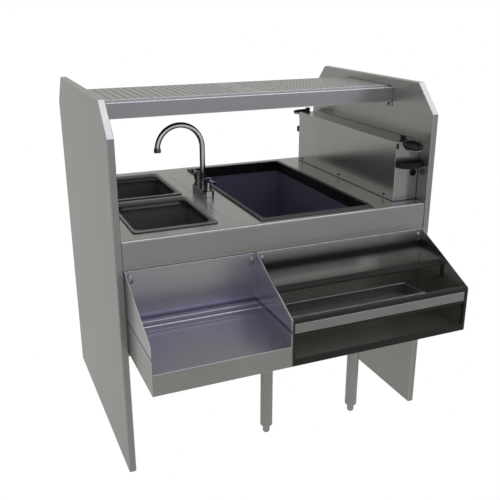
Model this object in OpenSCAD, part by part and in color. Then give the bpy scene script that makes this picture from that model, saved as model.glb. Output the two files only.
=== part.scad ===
// Pass-through bar station: two drop-in sinks with a gooseneck faucet, an insulated
// ice bin, a soda line chase with gun holders at both ends, a perforated shelf on two
// end panels, and a tray and a two-tier speed rail that hang on studs at the front.
// X runs to the right, Y to the back and Z up. Lengths are millimetres.

/* [Overall] */
// Overall width over the two end panels
overall_w = 1066.8; // [960:0.2:1220]
// Height of the end panels above the deck
panel_rise = 383; // [370:1:480]
// Depth of the end panels
panel_d = 810; // [804:1:880]
// Thickness of an end panel
panel_t = 21.4; // [14:0.1:24]
// Distance from the top of an end panel down to where its corners start to slope in
shoulder_drop = 92; // [60:1:140]
// Depth of the flat top of an end panel
panel_top_d = 633.4; // [560:0.2:700]
// Height of the deck above the floor
deck_h = 762; // [740:1:920]

/* [Deck] */
// Thickness of the deck, apron and shelf sheet
sheet_t = 1.6; // [1.2:0.1:2]
// Height of the aprons below the deck
apron_h = 73; // [60:1:85]
// Width of the fold at the bottom of an apron
apron_return = 8; // [6:0.5:9]
// Radius of the front and back edges of the deck
edge_r = 6; // [3:0.5:9]
// Setback of the aprons behind the edges of the end panels
deck_setback = 2.6; // [1.5:0.1:4]

/* [Sinks] */
// Share of the width between the end panels that a sink's rim takes
sink_w_share = 0.2573; // [0.23:0.0001:0.262]
// Length of a sink over its rim, from front to back
sink_d = 330.2; // [300:0.2:340]
// Gap between the two rims
sink_gap = 26.8; // [16:0.2:40]
// Share of the width between the end panels at the left of the rims
sink_side_share = 0.0488; // [0.04:0.0001:0.053]
// Height of a rim above the deck
rim_h = 4; // [2:0.5:6]
// Width of the flat band round a rim
rim_band = 8; // [7:0.5:11]
// Distance from a rim's outside to the bowl, at the sides
bowl_side = 15.5; // [13:0.5:22]
// Distance from a rim's outside to the bowl, at the front and back
bowl_end = 41; // [30:1:55]
// Corner radius of a bowl
bowl_r = 28; // [24:1:40]
// Radius between a bowl's walls and floor
bowl_floor_r = 20; // [10:1:22]
// Depth of a bowl below the deck
bowl_depth = 230; // [180:1:250]
// Thickness of a bowl
bowl_t = 1.2; // [1:0.1:1.6]
// Diameter of the drain opening in a bowl
drain_d = 50.8; // [46:0.2:60]
// Diameter of a drain tailpiece
tail_d = 38.1; // [32:0.1:40]

/* [Faucet] */
// Share of the width between the end panels from the rims to the faucet axis
faucet_share = 0.06914; // [0.06:0.00001:0.072]
// Width of the faucet base
faucet_w = 42; // [36:1:48]
// Length of the faucet base
faucet_l = 128; // [124:1:150]
// Height of the faucet base
faucet_h = 24; // [16:1:32]
// Distance between the two valve axes
valve_pitch = 101.6; // [96:0.2:104]
// Height of the gooseneck's centreline above the deck
spout_h = 243.5; // [200:0.5:280]
// Bend radius of the gooseneck
spout_r = 78.7; // [60:0.1:90]
// Diameter of the gooseneck tube
spout_d = 18.4; // [16:0.1:20]
// Length of a lever from its valve axis
lever_l = 55.2; // [45:0.2:65]

/* [Ice bin] */
// Distance from the faucet base to the ice bin frame
bin_gap = 34.7; // [24:0.1:60]
// Length of the ice bin frame, from front to back
bin_d = 734; // [640:1:738]
// Distance from the deck's front edge to the ice bin frame
bin_front = 20.4; // [18:0.2:26]
// Height of the ice bin frame above the deck
frame_h = 5; // [3:0.5:9]
// Width of the frame at the sides
frame_side = 13.5; // [11:0.5:20]
// Width of the frame at the front
frame_front = 19; // [14:0.5:28]
// Width of the frame at the back
frame_back = 12; // [10:0.5:20]
// Depth of the frame's inner wall below the deck
breaker_h = 33; // [20:1:50]
// Depth of the ice bin below the deck
bin_depth = 332; // [280:1:345]
// Thickness of the insulation
foam_t = 24; // [15:1:25]

/* [Chase] */
// Width of the soda line chase
chase_w = 92; // [90:1:100]
// Length of the chase, from front to back
chase_d = 698; // [600:1:740]
// Height of the chase above the deck
chase_h = 199; // [180:1:230]
// Share of the width between the end panels between the ice bin's frame and the chase
chase_gap_share = 0.0918; // [0.08:0.0001:0.0976]
// Outer radius of a gun holder's ring
holder_r = 32.8; // [30:0.2:35]
// Inner radius of a gun holder's ring
holder_hole_r = 23.5; // [20:0.5:25]
// Reach of a gun holder from its spool to its ring
holder_reach = 56.7; // [54:0.1:62]
// Downward tilt of a gun holder's ring
holder_tilt = 14.5; // [0:0.5:20]
// Projection of a drip tray from the chase
drip_d = 48; // [42:1:60]
// Height of a drip tray
drip_h = 18.5; // [15:0.5:24]

/* [Shelf] */
// Distance from the top of the end panels down to the shelf's border
shelf_drop = 30.3; // [20:0.1:60]
// Height of the shelf's front and back edges
shelf_h = 47.6; // [40:0.1:52]
// Depth of the shelf
shelf_d = 349.4; // [320:0.2:400]
// Width of the shelf's border in front of and behind the inserts
shelf_border = 28; // [20:1:40]
// Height of an insert above the border
insert_raise = 4.5; // [3:0.5:8]
// Diameter of the holes in an insert
hole_d = 9.5; // [6:0.5:12]
// Distance between the holes in an insert
hole_pitch = 25.4; // [20:0.2:32]

/* [Tray and rail] */
// Share of the width between the end panels that the hanging tray takes
tray_w_share = 0.39844; // [0.36:0.00001:0.42]
// Reach of the tray and rail in front of the end panels
tray_d = 253.6; // [230:0.2:280]
// Height of the back of the tray and rail
tray_h = 262.5; // [250:0.5:275]
// Height of the front corner of the tray's and rail's sides
side_front_h = 148.5; // [140:0.5:160]
// Height of the tray's front wall
tray_lip_h = 63.9; // [50:0.1:80]
// Gap between the apron and the top of the tray and rail
hang_gap = 15; // [14.5:0.5:24]
// Thickness of the tray and rail sheet
tray_t = 1.5; // [1.2:0.1:2]
// Height of the speed rail's front bar
bar_h = 54.3; // [46:0.1:64]
// Height of the speed rail's bottom lip
rail_lip_h = 22.5; // [16:0.5:30]
// Share of the speed rail's width that its removable pan takes
pan_w_share = 0.7434; // [0.6:0.0001:0.85]

/* [Legs] */
// Diameter of a leg tube
leg_d = 41.3; // [36:0.1:43]
// Height of the leg tubes' lower ends above the floor
foot_h = 31; // [26:1:44]
// Diameter of a bullet foot
foot_d = 24; // [20:0.5:30]

/* [Hidden] */
$fn = 64;
fit = 0.3;
over = 2;
skin = 0.2;

overall_h = deck_h + panel_rise;
shoulder_h = overall_h - shoulder_drop;
inner_x = overall_w / 2 - panel_t;
inner_w = 2 * inner_x;
half_d = panel_d / 2;
deck_y = half_d - deck_setback;
deck_under = deck_h - sheet_t;
apron_z = deck_h - apron_h;
panel_edge = 2;
bevel_share = 0.42;

channel_w = 28;
channel_h = 25;
channel_t = 1.6;
line_slot_w = 46;
line_slot_l = 300;

rim_r = 12;
rim_bearing = 6;
rim_under = rim_bearing + 2 * fit;
lead_drop = 12;
lead_share = 0.75;
lead_drop_share = 0.35;
corner_steps = 6;
sink_w = sink_w_share * inner_w;
sink_side = sink_side_share * inner_w;
bowl_w = sink_w - 2 * bowl_side;
bowl_l = sink_d - 2 * bowl_end;
fillet_steps = 5;
sink_x = -inner_x + sink_side + sink_w / 2;
sink_y = (sink_gap + sink_d) / 2;

drain_flange_d = drain_d + 25;
drain_flange_t = 2;
drain_body_h = 36;
tail_l = 118;
tail_wall = 1.6;
drain_wall = 3;
locknut_h = 10;
locknut_wall = 9;
basket_gap = 0.6;
basket_rim_d = drain_d + 5;
basket_depth = 18;
basket_t = 1.2;
basket_hole_d = 4;
basket_holes = 8;
knob_d = 9;
knob_h = 20;

faucet_offset = faucet_share * inner_w;
faucet_x = sink_x + sink_w / 2 + faucet_offset;
faucet_cut = 12;
faucet_bevel = 3;
boss_d = 26;
boss_h = 7;
socket_d = 14;
socket_depth = 16;
collar_d = 22.4;
collar_h = 12;
tube_wall = 1.3;
waterway_d = 8;
spout_drop = 5;
aerator_d = spout_d + 4.6;
aerator_h = 14;
aerator_bore = 13;
aerator_grow = 0.5;
aerator_plate_t = 1.6;
aerator_hole_d = 2.2;
aerator_holes = 6;
aerator_seat = spout_drop - aerator_plate_t;
bonnet_d = 24;
bonnet_h = 17;
bonnet_foot_d = 30;
bonnet_foot_h = 4;
stem_d = 9;
stem_h = 14;
hub_d = 28;
hub_h = 24;
hub_bevel = 2.5;
lever_w = 10;
lever_t = 9;
lever_tip_w = 16;
lever_tip_t = 12;
lever_tip_l = 14;
lever_z = 18;
index_d = 14;
index_h = 2;
shank_d = 20.9;
shank_l = 62;
shank_bore = 13;
shank_hole_d = 22.2;
shank_nut_d = 34;
shank_nut_h = 8;
relief_h = 2;
relief_depth = 1.4;

liner_t = 1.2;
breaker_t = 3;
frame_r = 3;
liner_r = 12;
liner_flange = 15;
chase_gap = chase_gap_share * inner_w;
bin_right = inner_x - chase_w - chase_gap;
bin_w = bin_right - faucet_x - faucet_w / 2 - bin_gap;
bin_x = bin_right - bin_w / 2;
bin_y = -deck_y + bin_front + bin_d / 2;
open_w = bin_w - 2 * frame_side;
open_d = bin_d - frame_front - frame_back;
open_y = bin_y + (frame_front - frame_back) / 2;
liner_w = open_w + 2 * (breaker_t + fit);
liner_d = open_d + 2 * (breaker_t + fit);
bin_floor = deck_h - bin_depth;
foam_w = liner_w + 2 * (liner_t + foam_t);
foam_d = liner_d + 2 * (liner_t + foam_t);
shell_w = foam_w + 2 * liner_t;
shell_d = foam_d + 2 * liner_t;
shell_z = bin_floor - 2 * liner_t - foam_t;
slope_drop = 3;
bin_pipe_d = 33.4;
bin_pipe_bore = 26.6;
bin_pipe_l = 55;
bin_flange_d = 64;
bin_nut_d = 56;
bin_nut_h = 10;

socket_plate_w = 84;
socket_plate_t = 4;
socket_plate_reach = 64;
socket_wall = 4;
socket_h = 36;
leg_inset_left = 40.6;
leg_inset_right = 56.6;
leg_inset = leg_d / 2 + 1.6;
leg_wall = 1.6;
plug_h = 28;
foot_stem_d = 12.7;
foot_stem_l = 42;
foot_nose = 6;
foot_collar_d = foot_d + 6;
foot_collar_h = 6;

chase_x = inner_x - chase_w;
screw_z = 13;
screw_shares = [-0.84, 0.034, 0.9];
screw_d = 4;
screw_head_d = 8;
screw_head_h = 2.2;
bracket_h = 28;
bracket_foot = 18;
grommet_inset = 20;
grommet_z = 93;
grommet_d = 22.8;
grommet_bore = 12;
grommet_neck_d = 17;
grommet_lip = 2;
clip_w = 7.5;
clip_h = 16;
clip_t = 3;
clip_drop = 5;

spool_x = chase_x + 32;
spool_inset = 12.3;
spool_r = 11.5;
spool_waist_r = 4.5;
spool_lip = 1.5;
spool_neck = 6;
spool_h = 18;
eye_r = 9;
ring_z = -3.4;
ring_h = 11;
ring_bevel = 3;
chrome_h = 4;
chrome_inset = 1.6;
arm_w = 10;
arm_t = 5;
strip_t = 0.8;
ring_reach = holder_r * cos(holder_tilt) + (ring_h / 2 - ring_bevel) * sin(holder_tilt);
back_reach = chase_d / 2 - spool_inset + holder_reach + ring_reach;
mid_y = (half_d + tray_d + strip_t - max(half_d, back_reach)) / 2;
drip_side = 22;
drip_wall = 2.2;
drip_floor = 2.2;
drip_back = 6;
drip_gap = 1;
drip_z = 117.5;
hook_w = 30;
hook_h = 8;
hook_t = 1.6;
hook_stand = 1.4;

shelf_top = overall_h - shelf_drop;
shelf_z = shelf_top - shelf_h;
shelf_return = 15;
shelf_end = 15;
shelf_web_w = 26;
shelf_web_h = 25;
insert_gap = 0.5;
insert_t = 1.2;
insert_side = 5;
insert_x = inner_x - insert_side;
insert_d = shelf_d - 2 * shelf_border;
insert_margin = 46;
slot_l = 19;
slot_w = 8;
slot_inset = 23.5;
ledge_w = 8;
tab_l = 34;
tab_h = 17.6;
tab_t = 2;
tab_foot = 20;
tab_bolt_y = 27;
tab_bolt_d = 6;
tab_head_d = 12;
tab_head_h = 5;

tray_gap_left = 2.5;
tray_gap_mid = 1.5;
tray_gap_right = 4;
tray_top = apron_z - hang_gap;
tray_z = tray_top - tray_h;
tray_left = -inner_x + tray_gap_left;
tray_right = tray_left + tray_w_share * inner_w;
rail_left = tray_right + tray_gap_mid;
rail_right = inner_x - tray_gap_right;
pan_w = pan_w_share * (rail_right - rail_left);
seam_right = rail_left + pan_w + 2 * tray_t;
tray_front = -half_d - tray_d;
side_slope = atan((tray_h - side_front_h) / tray_d);
tray_step_drop = 167;
tray_step_d = 31;
tray_step_h = 17;
tray_floor_drop = 40;
tray_fold = 12;
panel_front = -deck_y + sheet_t;
front_t = 1.5;
stand_off = half_d - tray_t + panel_front;
front_drop = 8;
seam = 0.6;
stud_inset = 16;
stud_drop = 18;
stud_d = 6.4;
stud_head_d = 14;
stud_head_t = 3;
key_d = 16;
key_w = 7.4;
lift = 13;

rail_corner = 9;
bar_flange = 14;
bar_lip = 10;
post_w = 8;
strip_h = 28.8;
strip_drop = 15.4;
strip_left = 7.5;
strip_right = 15;
tier_z = 134.5;
tier_h = 49.5;
tier_bar_t = 5.5;
tier_front = 120.6;
tier_bottom_d = 11;
tier_top_d = 38;
tier_post_w = 7;
tier_post_d = 4.5;
insert_drop = 26;
insert_lip = 9;
insert_gap_y = 3;
bead_w = 8;
bead_h = 3;
bead_shares = [0.3, 0.62];

steel = "#8f8d86";
steel_dark = "#6d6c6f";
bright = "#b9b9bd";
black = "#22221e";
navy = "#25232d";
foam = "#d8cfa8";

// Folded sheet: a path in the YZ plane is thickened to its right and run along X
function turn(a, b) = [a.y - b.y, b.x - a.x] / norm(b - a);
function side_step(p, i) =
    i == 0 ? turn(p[0], p[1])
    : i == len(p) - 1 ? turn(p[i - 1], p[i])
    : let (m = turn(p[i - 1], p[i]), n = turn(p[i], p[i + 1])) (m + n) / (1 + m * n);
function folded(p, t) = concat(p, [for (i = [len(p) - 1:-1:0]) p[i] - t * side_step(p, i)]);
function arc(c, r, from, to, n = 6) =
    [for (i = [0:n]) c + r * [cos(from + (to - from) * i / n), sin(from + (to - from) * i / n)]];

module placed() { translate([0, mid_y, 0]) children(); }

module along_x(from, to) {
    translate([from, 0, 0]) rotate([90, 0, 90]) linear_extrude(to - from) children();
}

module block(low, high) { translate(low) cube(high - low); }

module pipe_x(from, to, y, z, d) {
    translate([from, y, z]) rotate([0, 90, 0]) cylinder(h = to - from, d = d);
}

module pipe_y(x, from, to, z, d) {
    translate([x, to, z]) rotate([90, 0, 0]) cylinder(h = to - from, d = d);
}

module round_rect(w, d, r) {
    square([w - 2 * r, d], center = true);
    square([w, d - 2 * r], center = true);
    for (x = [-1, 1], y = [-1, 1]) translate([x * (w / 2 - r), y * (d / 2 - r)]) circle(r = r);
}

module tub(w, d, r, low, high) { translate([0, 0, low]) linear_extrude(high - low) round_rect(w, d, r); }

// End panels

module panel_outline(inset) {
    y = half_d - inset;
    top = panel_top_d / 2 - inset * bevel_share;
    shoulder = shoulder_h - inset * bevel_share;
    polygon([[-y, 0], [y, 0], [y, shoulder], [top, overall_h - inset], [-top, overall_h - inset],
        [-y, shoulder]]);
}

module end_panel(side) {
    near = side * (inner_x + panel_t / 2) - panel_t / 2;
    hull() {
        along_x(near + panel_edge, near + panel_t - panel_edge) panel_outline(0);
        along_x(near, near + panel_t) panel_outline(panel_edge);
    }
}

module end_panel_left() { color(steel) placed() end_panel(-1); }

module end_panel_right() { color(steel) placed() end_panel(1); }

// Deck

module deck_fold() {
    path = concat(
        [[-deck_y + apron_return, apron_z], [-deck_y, apron_z]],
        arc([-deck_y + edge_r, deck_h - edge_r], edge_r, 180, 90),
        arc([deck_y - edge_r, deck_h - edge_r], edge_r, 90, 0),
        [[deck_y, apron_z], [deck_y - apron_return, apron_z]]);
    along_x(-inner_x, inner_x) polygon(folded(path, sheet_t));
}

module deck() {
    color(steel) placed() difference() {
        deck_fold();
        for (side = [-1, 1]) translate([sink_x, side * sink_y, 0])
            tub(sink_w - 2 * rim_bearing, sink_d - 2 * rim_bearing, rim_r, deck_under - over, deck_h + over);
        translate([bin_x, open_y, 0]) tub(liner_w, liner_d, liner_r, deck_under - over, deck_h + over);
        for (side = [-1, 1]) translate([faucet_x, side * valve_pitch / 2, deck_under - over])
            cylinder(h = sheet_t + 2 * over, d = shank_hole_d);
        translate([inner_x - chase_w / 2, 0, 0])
            tub(line_slot_w, line_slot_l, line_slot_w / 4, deck_under - over, deck_h + over);
    }
}

module deck_channel(x) {
    low = deck_under - channel_h;
    difference() {
        block([x - channel_w / 2, -deck_y + edge_r, low], [x + channel_w / 2, deck_y - edge_r, deck_under]);
        block([x - channel_w / 2 + channel_t, -deck_y, low + channel_t],
            [x + channel_w / 2 - channel_t, deck_y, deck_under + over]);
    }
}

module deck_channels() {
    color(steel_dark) placed() {
        deck_channel(-inner_x + sink_side / 2);
        deck_channel(sink_x + sink_w / 2 + (faucet_offset - shank_nut_d / 2) / 2);
        deck_channel(bin_x + shell_w / 2 + channel_w);
    }
}

module front_panels() {
    splits = [-inner_x, rail_left - tray_gap_mid / 2, seam_right, inner_x];
    color(steel_dark) placed() for (i = [0:len(splits) - 2])
        block([splits[i] + seam / 2, panel_front, tray_z - front_drop],
            [splits[i + 1] - seam / 2, panel_front + front_t, apron_z]);
}

// Studs and the keyholes that hang on them

module stud_places(left, right) {
    for (x = [left + stud_inset, right - stud_inset]) translate([x, 0, tray_top - stud_drop]) children();
}

module hanger_studs() {
    color(bright) placed() for (span = [[tray_left, tray_right], [rail_left, rail_right]])
        stud_places(span[0], span[1]) {
            pipe_y(0, -half_d, panel_front, 0, stud_d);
            pipe_y(0, -half_d - stud_head_t, -half_d, 0, stud_head_d);
        }
}

module keyholes(left, right) {
    stud_places(left, right) {
        pipe_y(0, -half_d - over, -half_d + tray_t + over, -lift, key_d);
        pipe_y(0, -half_d - over, -half_d + tray_t + over, 0, key_w);
        block([-key_w / 2, -half_d - over, -lift], [key_w / 2, -half_d + tray_t + over, 0]);
    }
}

// Shelf

module shelf_profile(side) {
    edge = shelf_d / 2;
    path = [[-edge + shelf_return, shelf_z], [-edge, shelf_z], [-edge, shelf_top],
        [-edge + shelf_border + ledge_w, shelf_top]];
    mirror([side > 0 ? 1 : 0, 0]) polygon(folded(path, sheet_t));
}

module shelf_frame() {
    edge = shelf_d / 2 - sheet_t;
    color(steel) placed() {
        for (side = [-1, 1]) along_x(-inner_x, inner_x) shelf_profile(side);
        for (side = [-1, 1]) {
            outer = side * inner_x;
            block([min(outer, outer - side * sheet_t), -edge, shelf_z + sheet_t],
                [max(outer, outer - side * sheet_t), edge, shelf_top - sheet_t]);
            block([min(outer, outer - side * shelf_end), -edge, shelf_top - sheet_t],
                [max(outer, outer - side * shelf_end), edge, shelf_top]);
            web = side * shelf_web_w / 2;
            block([min(web, web - side * sheet_t), -edge, shelf_top - shelf_web_h],
                [max(web, web - side * sheet_t), edge, shelf_top - sheet_t]);
        }
        block([-shelf_web_w / 2, -edge, shelf_top - sheet_t], [shelf_web_w / 2, edge, shelf_top]);
    }
}

module perforations() {
    columns = floor((insert_x - 2 * insert_margin) / hole_pitch);
    rows = floor((insert_d / 2 - hole_d) / hole_pitch);
    middle = (insert_x + insert_gap) / 2;
    for (i = [0:columns], j = [-rows:rows])
        translate([middle + (i - columns / 2) * hole_pitch, j * hole_pitch]) circle(d = hole_d);
    for (x = [slot_inset, insert_x - slot_inset]) translate([x, 0]) {
        square([slot_l - slot_w, slot_w], center = true);
        for (side = [-1, 1]) translate([side * (slot_l - slot_w) / 2, 0]) circle(d = slot_w);
    }
}

module shelf_insert(side) {
    low = insert_gap;
    wide = insert_x - insert_gap;
    long = insert_d / 2;
    mirror([side < 0 ? 1 : 0, 0, 0]) {
        translate([0, 0, shelf_top + insert_raise - insert_t]) linear_extrude(insert_t) difference() {
            translate([low, -long]) square([wide, insert_d]);
            perforations();
        }
        translate([0, 0, shelf_top]) linear_extrude(insert_raise - insert_t) difference() {
            translate([low, -long]) square([wide, insert_d]);
            translate([low + insert_t, -long + insert_t])
                square([wide - 2 * insert_t, insert_d - 2 * insert_t]);
        }
    }
}

module shelf_insert_left() { color(steel) placed() shelf_insert(-1); }

module shelf_insert_right() { color(steel) placed() shelf_insert(1); }

module corners_of_shelf() {
    for (x = [0, 1], y = [0, 1]) mirror([x, 0, 0]) mirror([0, y, 0]) children();
}

module shelf_tabs() {
    back = shelf_d / 2 - tab_l;
    color(steel) placed() corners_of_shelf() difference() {
        union() {
            block([inner_x - tab_t, back, shelf_z - tab_h], [inner_x, back + tab_l, shelf_z]);
            block([inner_x - tab_foot, back, shelf_z - tab_t], [inner_x, back + tab_l, shelf_z]);
        }
        pipe_x(inner_x - tab_t - over, inner_x + over, back + tab_l - tab_bolt_y, shelf_z - tab_h / 2,
            tab_bolt_d + 2 * fit);
    }
}

module shelf_bolts() {
    y = shelf_d / 2 - tab_bolt_y;
    color(bright) placed() corners_of_shelf() {
        pipe_x(inner_x - tab_t, inner_x, y, shelf_z - tab_h / 2, tab_bolt_d);
        pipe_x(inner_x - tab_t - tab_head_h, inner_x - tab_t, y, shelf_z - tab_h / 2, tab_head_d);
    }
}

// Sinks: one skin lofted through rounded outlines, over the rim and down to the floor

function mix(a, b, share) = a + (b - a) * share;
function outline(w, d, r, z) = [for (q = [0:3], i = [0:corner_steps])
    let (a = 90 * (q + i / corner_steps), x = (q == 0 || q == 3) ? 1 : -1, y = q < 2 ? 1 : -1)
    [x * (w / 2 - r) + r * cos(a), y * (d / 2 - r) + r * sin(a), z]];
function lead_outline(share, drop_share, grow) = outline(
    mix(sink_w - 2 * rim_band, bowl_w, share) + 2 * grow,
    mix(sink_d - 2 * rim_band, bowl_l, share) + 2 * grow,
    mix(rim_r, bowl_r, share) + grow, mix(rim_h, -lead_drop, drop_share) - grow);
function floor_outlines(grow) = let (r = bowl_floor_r + grow) [for (i = [0:fillet_steps])
    let (a = 90 * i / fillet_steps, inset = r * (1 - cos(a)) - grow)
    outline(bowl_w - 2 * inset, bowl_l - 2 * inset, bowl_r - inset, -bowl_depth - grow + r * (1 - sin(a)))];

module loft(rings) {
    n = len(rings[0]);
    last = n * (len(rings) - 1);
    sides = [for (j = [0:len(rings) - 2], i = [0:n - 1])
        [j * n + i, (j + 1) * n + i, (j + 1) * n + (i + 1) % n, j * n + (i + 1) % n]];
    polyhedron([for (ring = rings, p = ring) p],
        concat([[for (i = [0:n - 1]) i]], sides, [[for (i = [n - 1:-1:0]) last + i]]));
}

module sink_bowl(side) {
    floor_up = floor_outlines(bowl_t);
    outside = concat([for (i = [fillet_steps:-1:0]) floor_up[i]],
        [lead_outline(1, 1, bowl_t), lead_outline(lead_share, lead_drop_share, bowl_t)],
        [outline(sink_w - 2 * rim_under, sink_d - 2 * rim_under, rim_r, 0)]);
    rim = [outline(sink_w, sink_d, rim_r, 0), outline(sink_w, sink_d, rim_r, rim_h)];
    inside = concat([lead_outline(0, 0, 0), lead_outline(lead_share, lead_drop_share, 0),
        lead_outline(1, 1, 0)], floor_outlines(0));
    translate([sink_x, side * sink_y, deck_h]) difference() {
        loft(concat(outside, rim, inside));
        translate([0, 0, -bowl_depth - over - bowl_t]) cylinder(h = 2 * over + bowl_t, d = drain_d);
    }
}

module sink_bowl_front() { color(steel_dark) placed() sink_bowl(-1); }

module sink_bowl_back() { color(steel_dark) placed() sink_bowl(1); }

module at_drain(side) { translate([sink_x, side * sink_y, deck_h - bowl_depth]) children(); }

module sink_drain() {
    body_d = drain_d - 2 * fit;
    difference() {
        union() {
            cylinder(h = drain_flange_t, d = drain_flange_d);
            translate([0, 0, -drain_body_h]) cylinder(h = drain_body_h, d = body_d);
            translate([0, 0, -tail_l]) cylinder(h = tail_l, d = tail_d);
        }
        translate([0, 0, -drain_body_h + drain_wall])
            cylinder(h = drain_body_h + drain_flange_t, d = body_d - 2 * drain_wall);
        translate([0, 0, -tail_l - over]) cylinder(h = tail_l, d = tail_d - 2 * tail_wall);
    }
}

module sink_drains() { color(bright) placed() for (side = [-1, 1]) at_drain(side) sink_drain(); }

module drain_locknuts() {
    color(bright) placed() for (side = [-1, 1]) at_drain(side) translate([0, 0, -bowl_t - locknut_h])
        difference() {
            cylinder(h = locknut_h, d = drain_d + 2 * locknut_wall, $fn = 8);
            translate([0, 0, -over]) cylinder(h = locknut_h + 2 * over, d = drain_d);
        }
}

module strainer() {
    basket_d = drain_d - 2 * (fit + drain_wall + basket_gap);
    difference() {
        union() {
            translate([0, 0, drain_flange_t]) cylinder(h = basket_t, d = basket_rim_d);
            translate([0, 0, -basket_depth])
                cylinder(h = basket_depth + drain_flange_t + basket_t, d = basket_d);
        }
        translate([0, 0, -basket_depth + basket_t])
            cylinder(h = 2 * basket_depth, d = basket_d - 2 * basket_t);
        for (i = [1:basket_holes]) rotate([0, 0, 360 * i / basket_holes])
            translate([basket_d / 3, 0, -basket_depth - over])
                cylinder(h = 2 * over + basket_t, d = basket_hole_d);
    }
    translate([0, 0, -basket_depth + basket_t]) cylinder(h = knob_h, d = knob_d / 2);
    translate([0, 0, -basket_depth + basket_t + knob_h]) cylinder(h = knob_d / 3, d = knob_d);
}

module strainer_front() { color(bright) placed() at_drain(-1) strainer(); }

module strainer_back() { color(bright) placed() at_drain(1) strainer(); }

// Faucet

module octagon(w, l, cut) {
    x = w / 2;
    y = l / 2;
    polygon([[x, -y + cut], [x, y - cut], [x - cut, y], [-x + cut, y],
        [-x, y - cut], [-x, -y + cut], [-x + cut, -y], [x - cut, -y]]);
}

module at_faucet() { translate([faucet_x, 0, deck_h]) children(); }

module at_valve(side) { at_faucet() translate([0, side * valve_pitch / 2, faucet_h]) children(); }

module faucet_body() {
    color(bright) placed() at_faucet() difference() {
        union() {
            hull() {
                linear_extrude(faucet_h - faucet_bevel) octagon(faucet_w, faucet_l, faucet_cut);
                linear_extrude(faucet_h)
                    octagon(faucet_w - 2 * faucet_bevel, faucet_l - 2 * faucet_bevel, faucet_cut);
            }
            cylinder(h = faucet_h + boss_h, d = boss_d);
        }
        translate([0, 0, faucet_h + boss_h - socket_depth]) cylinder(h = socket_depth + over, d = socket_d);
    }
}

module valve_bonnets() {
    color(bright) placed() for (side = [-1, 1]) at_valve(side) {
        cylinder(h = bonnet_foot_h, d = bonnet_foot_d);
        cylinder(h = bonnet_h, d = bonnet_d);
        cylinder(h = bonnet_h + stem_h, d = stem_d);
    }
}

module gooseneck(d, low, drop) {
    centre = spout_h - spout_r;
    translate([0, 0, low]) cylinder(h = centre - low, d = d);
    translate([-spout_r, 0, centre]) rotate([90, 0, 0]) rotate_extrude(angle = 180)
        translate([spout_r, 0]) circle(d = d);
    translate([-2 * spout_r, 0, centre - drop]) cylinder(h = drop, d = d);
}

module faucet_spout() {
    foot = faucet_h + boss_h;
    color(bright) placed() at_faucet() difference() {
        union() {
            gooseneck(spout_d, foot, spout_drop);
            translate([0, 0, foot]) cylinder(h = collar_h, d = collar_d);
            translate([0, 0, foot - socket_depth + fit]) cylinder(h = socket_depth, d = socket_d - 2 * fit);
        }
        gooseneck(spout_d - 2 * tube_wall, foot + collar_h, spout_drop + over);
        translate([0, 0, foot - socket_depth]) cylinder(h = socket_depth + collar_h + over, d = waterway_d);
    }
}

module faucet_aerator() {
    seat = spout_h - spout_r - spout_drop;
    low = seat - aerator_plate_t - aerator_seat / 2;
    color(bright) placed() at_faucet() translate([-2 * spout_r, 0, 0]) difference() {
        translate([0, 0, low]) cylinder(h = aerator_h, d = aerator_d);
        translate([0, 0, seat]) cylinder(h = aerator_h, d = spout_d + 2 * aerator_grow);
        translate([0, 0, low - over]) cylinder(h = aerator_seat / 2 + over, d = aerator_bore);
        for (i = [1:aerator_holes]) rotate([0, 0, 360 * i / aerator_holes])
            translate([aerator_bore / 4, 0, low]) cylinder(h = aerator_h, d = aerator_hole_d);
    }
}

module lever(side) {
    base = bonnet_h + fit;
    at_valve(side) mirror([0, side > 0 ? 1 : 0, 0]) difference() {
        union() {
            translate([0, 0, base]) cylinder(h = hub_h - hub_bevel, d = hub_d);
            translate([0, 0, base + hub_h - hub_bevel])
                cylinder(h = hub_bevel, d1 = hub_d, d2 = hub_d - 2 * hub_bevel);
            hull() {
                translate([-lever_w / 2, -lever_w, base + lever_z - lever_t / 2])
                    cube([lever_w, lever_w / 2, lever_t]);
                translate([-lever_w / 2, -lever_l + lever_tip_l, base + lever_z - lever_t / 2])
                    cube([lever_w, skin, lever_t]);
            }
            hull() {
                translate([-lever_w / 2, -lever_l + lever_tip_l, base + lever_z - lever_t / 2])
                    cube([lever_w, skin, lever_t]);
                translate([-lever_tip_w / 2, -lever_l, base + lever_z - lever_tip_t / 2])
                    cube([lever_tip_w, lever_tip_l / 2, lever_tip_t]);
            }
        }
        cylinder(h = bonnet_h + stem_h + fit, d = stem_d + 2 * fit);
    }
}

module index_cap(side) {
    at_valve(side) translate([0, 0, bonnet_h + fit + hub_h]) cylinder(h = index_h, d = index_d);
}

module lever_cold() { color(bright) placed() lever(-1); }

module lever_hot() { color(bright) placed() lever(1); }

module index_cold() { color("#3a5ca8") placed() index_cap(-1); }

module index_hot() { color("#b04038") placed() index_cap(1); }

module faucet_shanks() {
    color(bright) placed() for (side = [-1, 1]) at_faucet() translate([0, side * valve_pitch / 2, -shank_l])
        difference() {
            cylinder(h = shank_l, d = shank_d);
            translate([0, 0, -over]) cylinder(h = shank_l, d = shank_bore);
            translate([0, 0, shank_l - sheet_t - shank_nut_h - 2 * relief_h]) relief(shank_d);
        }
}

module relief(d) {
    difference() {
        cylinder(h = relief_h, d = d + over);
        translate([0, 0, -over]) cylinder(h = relief_h + 2 * over, d = d - relief_depth);
    }
}

module shank_nuts() {
    color(bright) placed() for (side = [-1, 1]) at_faucet()
        translate([0, side * valve_pitch / 2, -sheet_t - shank_nut_h]) difference() {
            cylinder(h = shank_nut_h, d = shank_nut_d, $fn = 6);
            translate([0, 0, -over]) cylinder(h = shank_nut_h + 2 * over, d = shank_d + 2 * fit);
        }
}

// Ice bin

module at_bin() { translate([bin_x, open_y, 0]) children(); }

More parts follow.
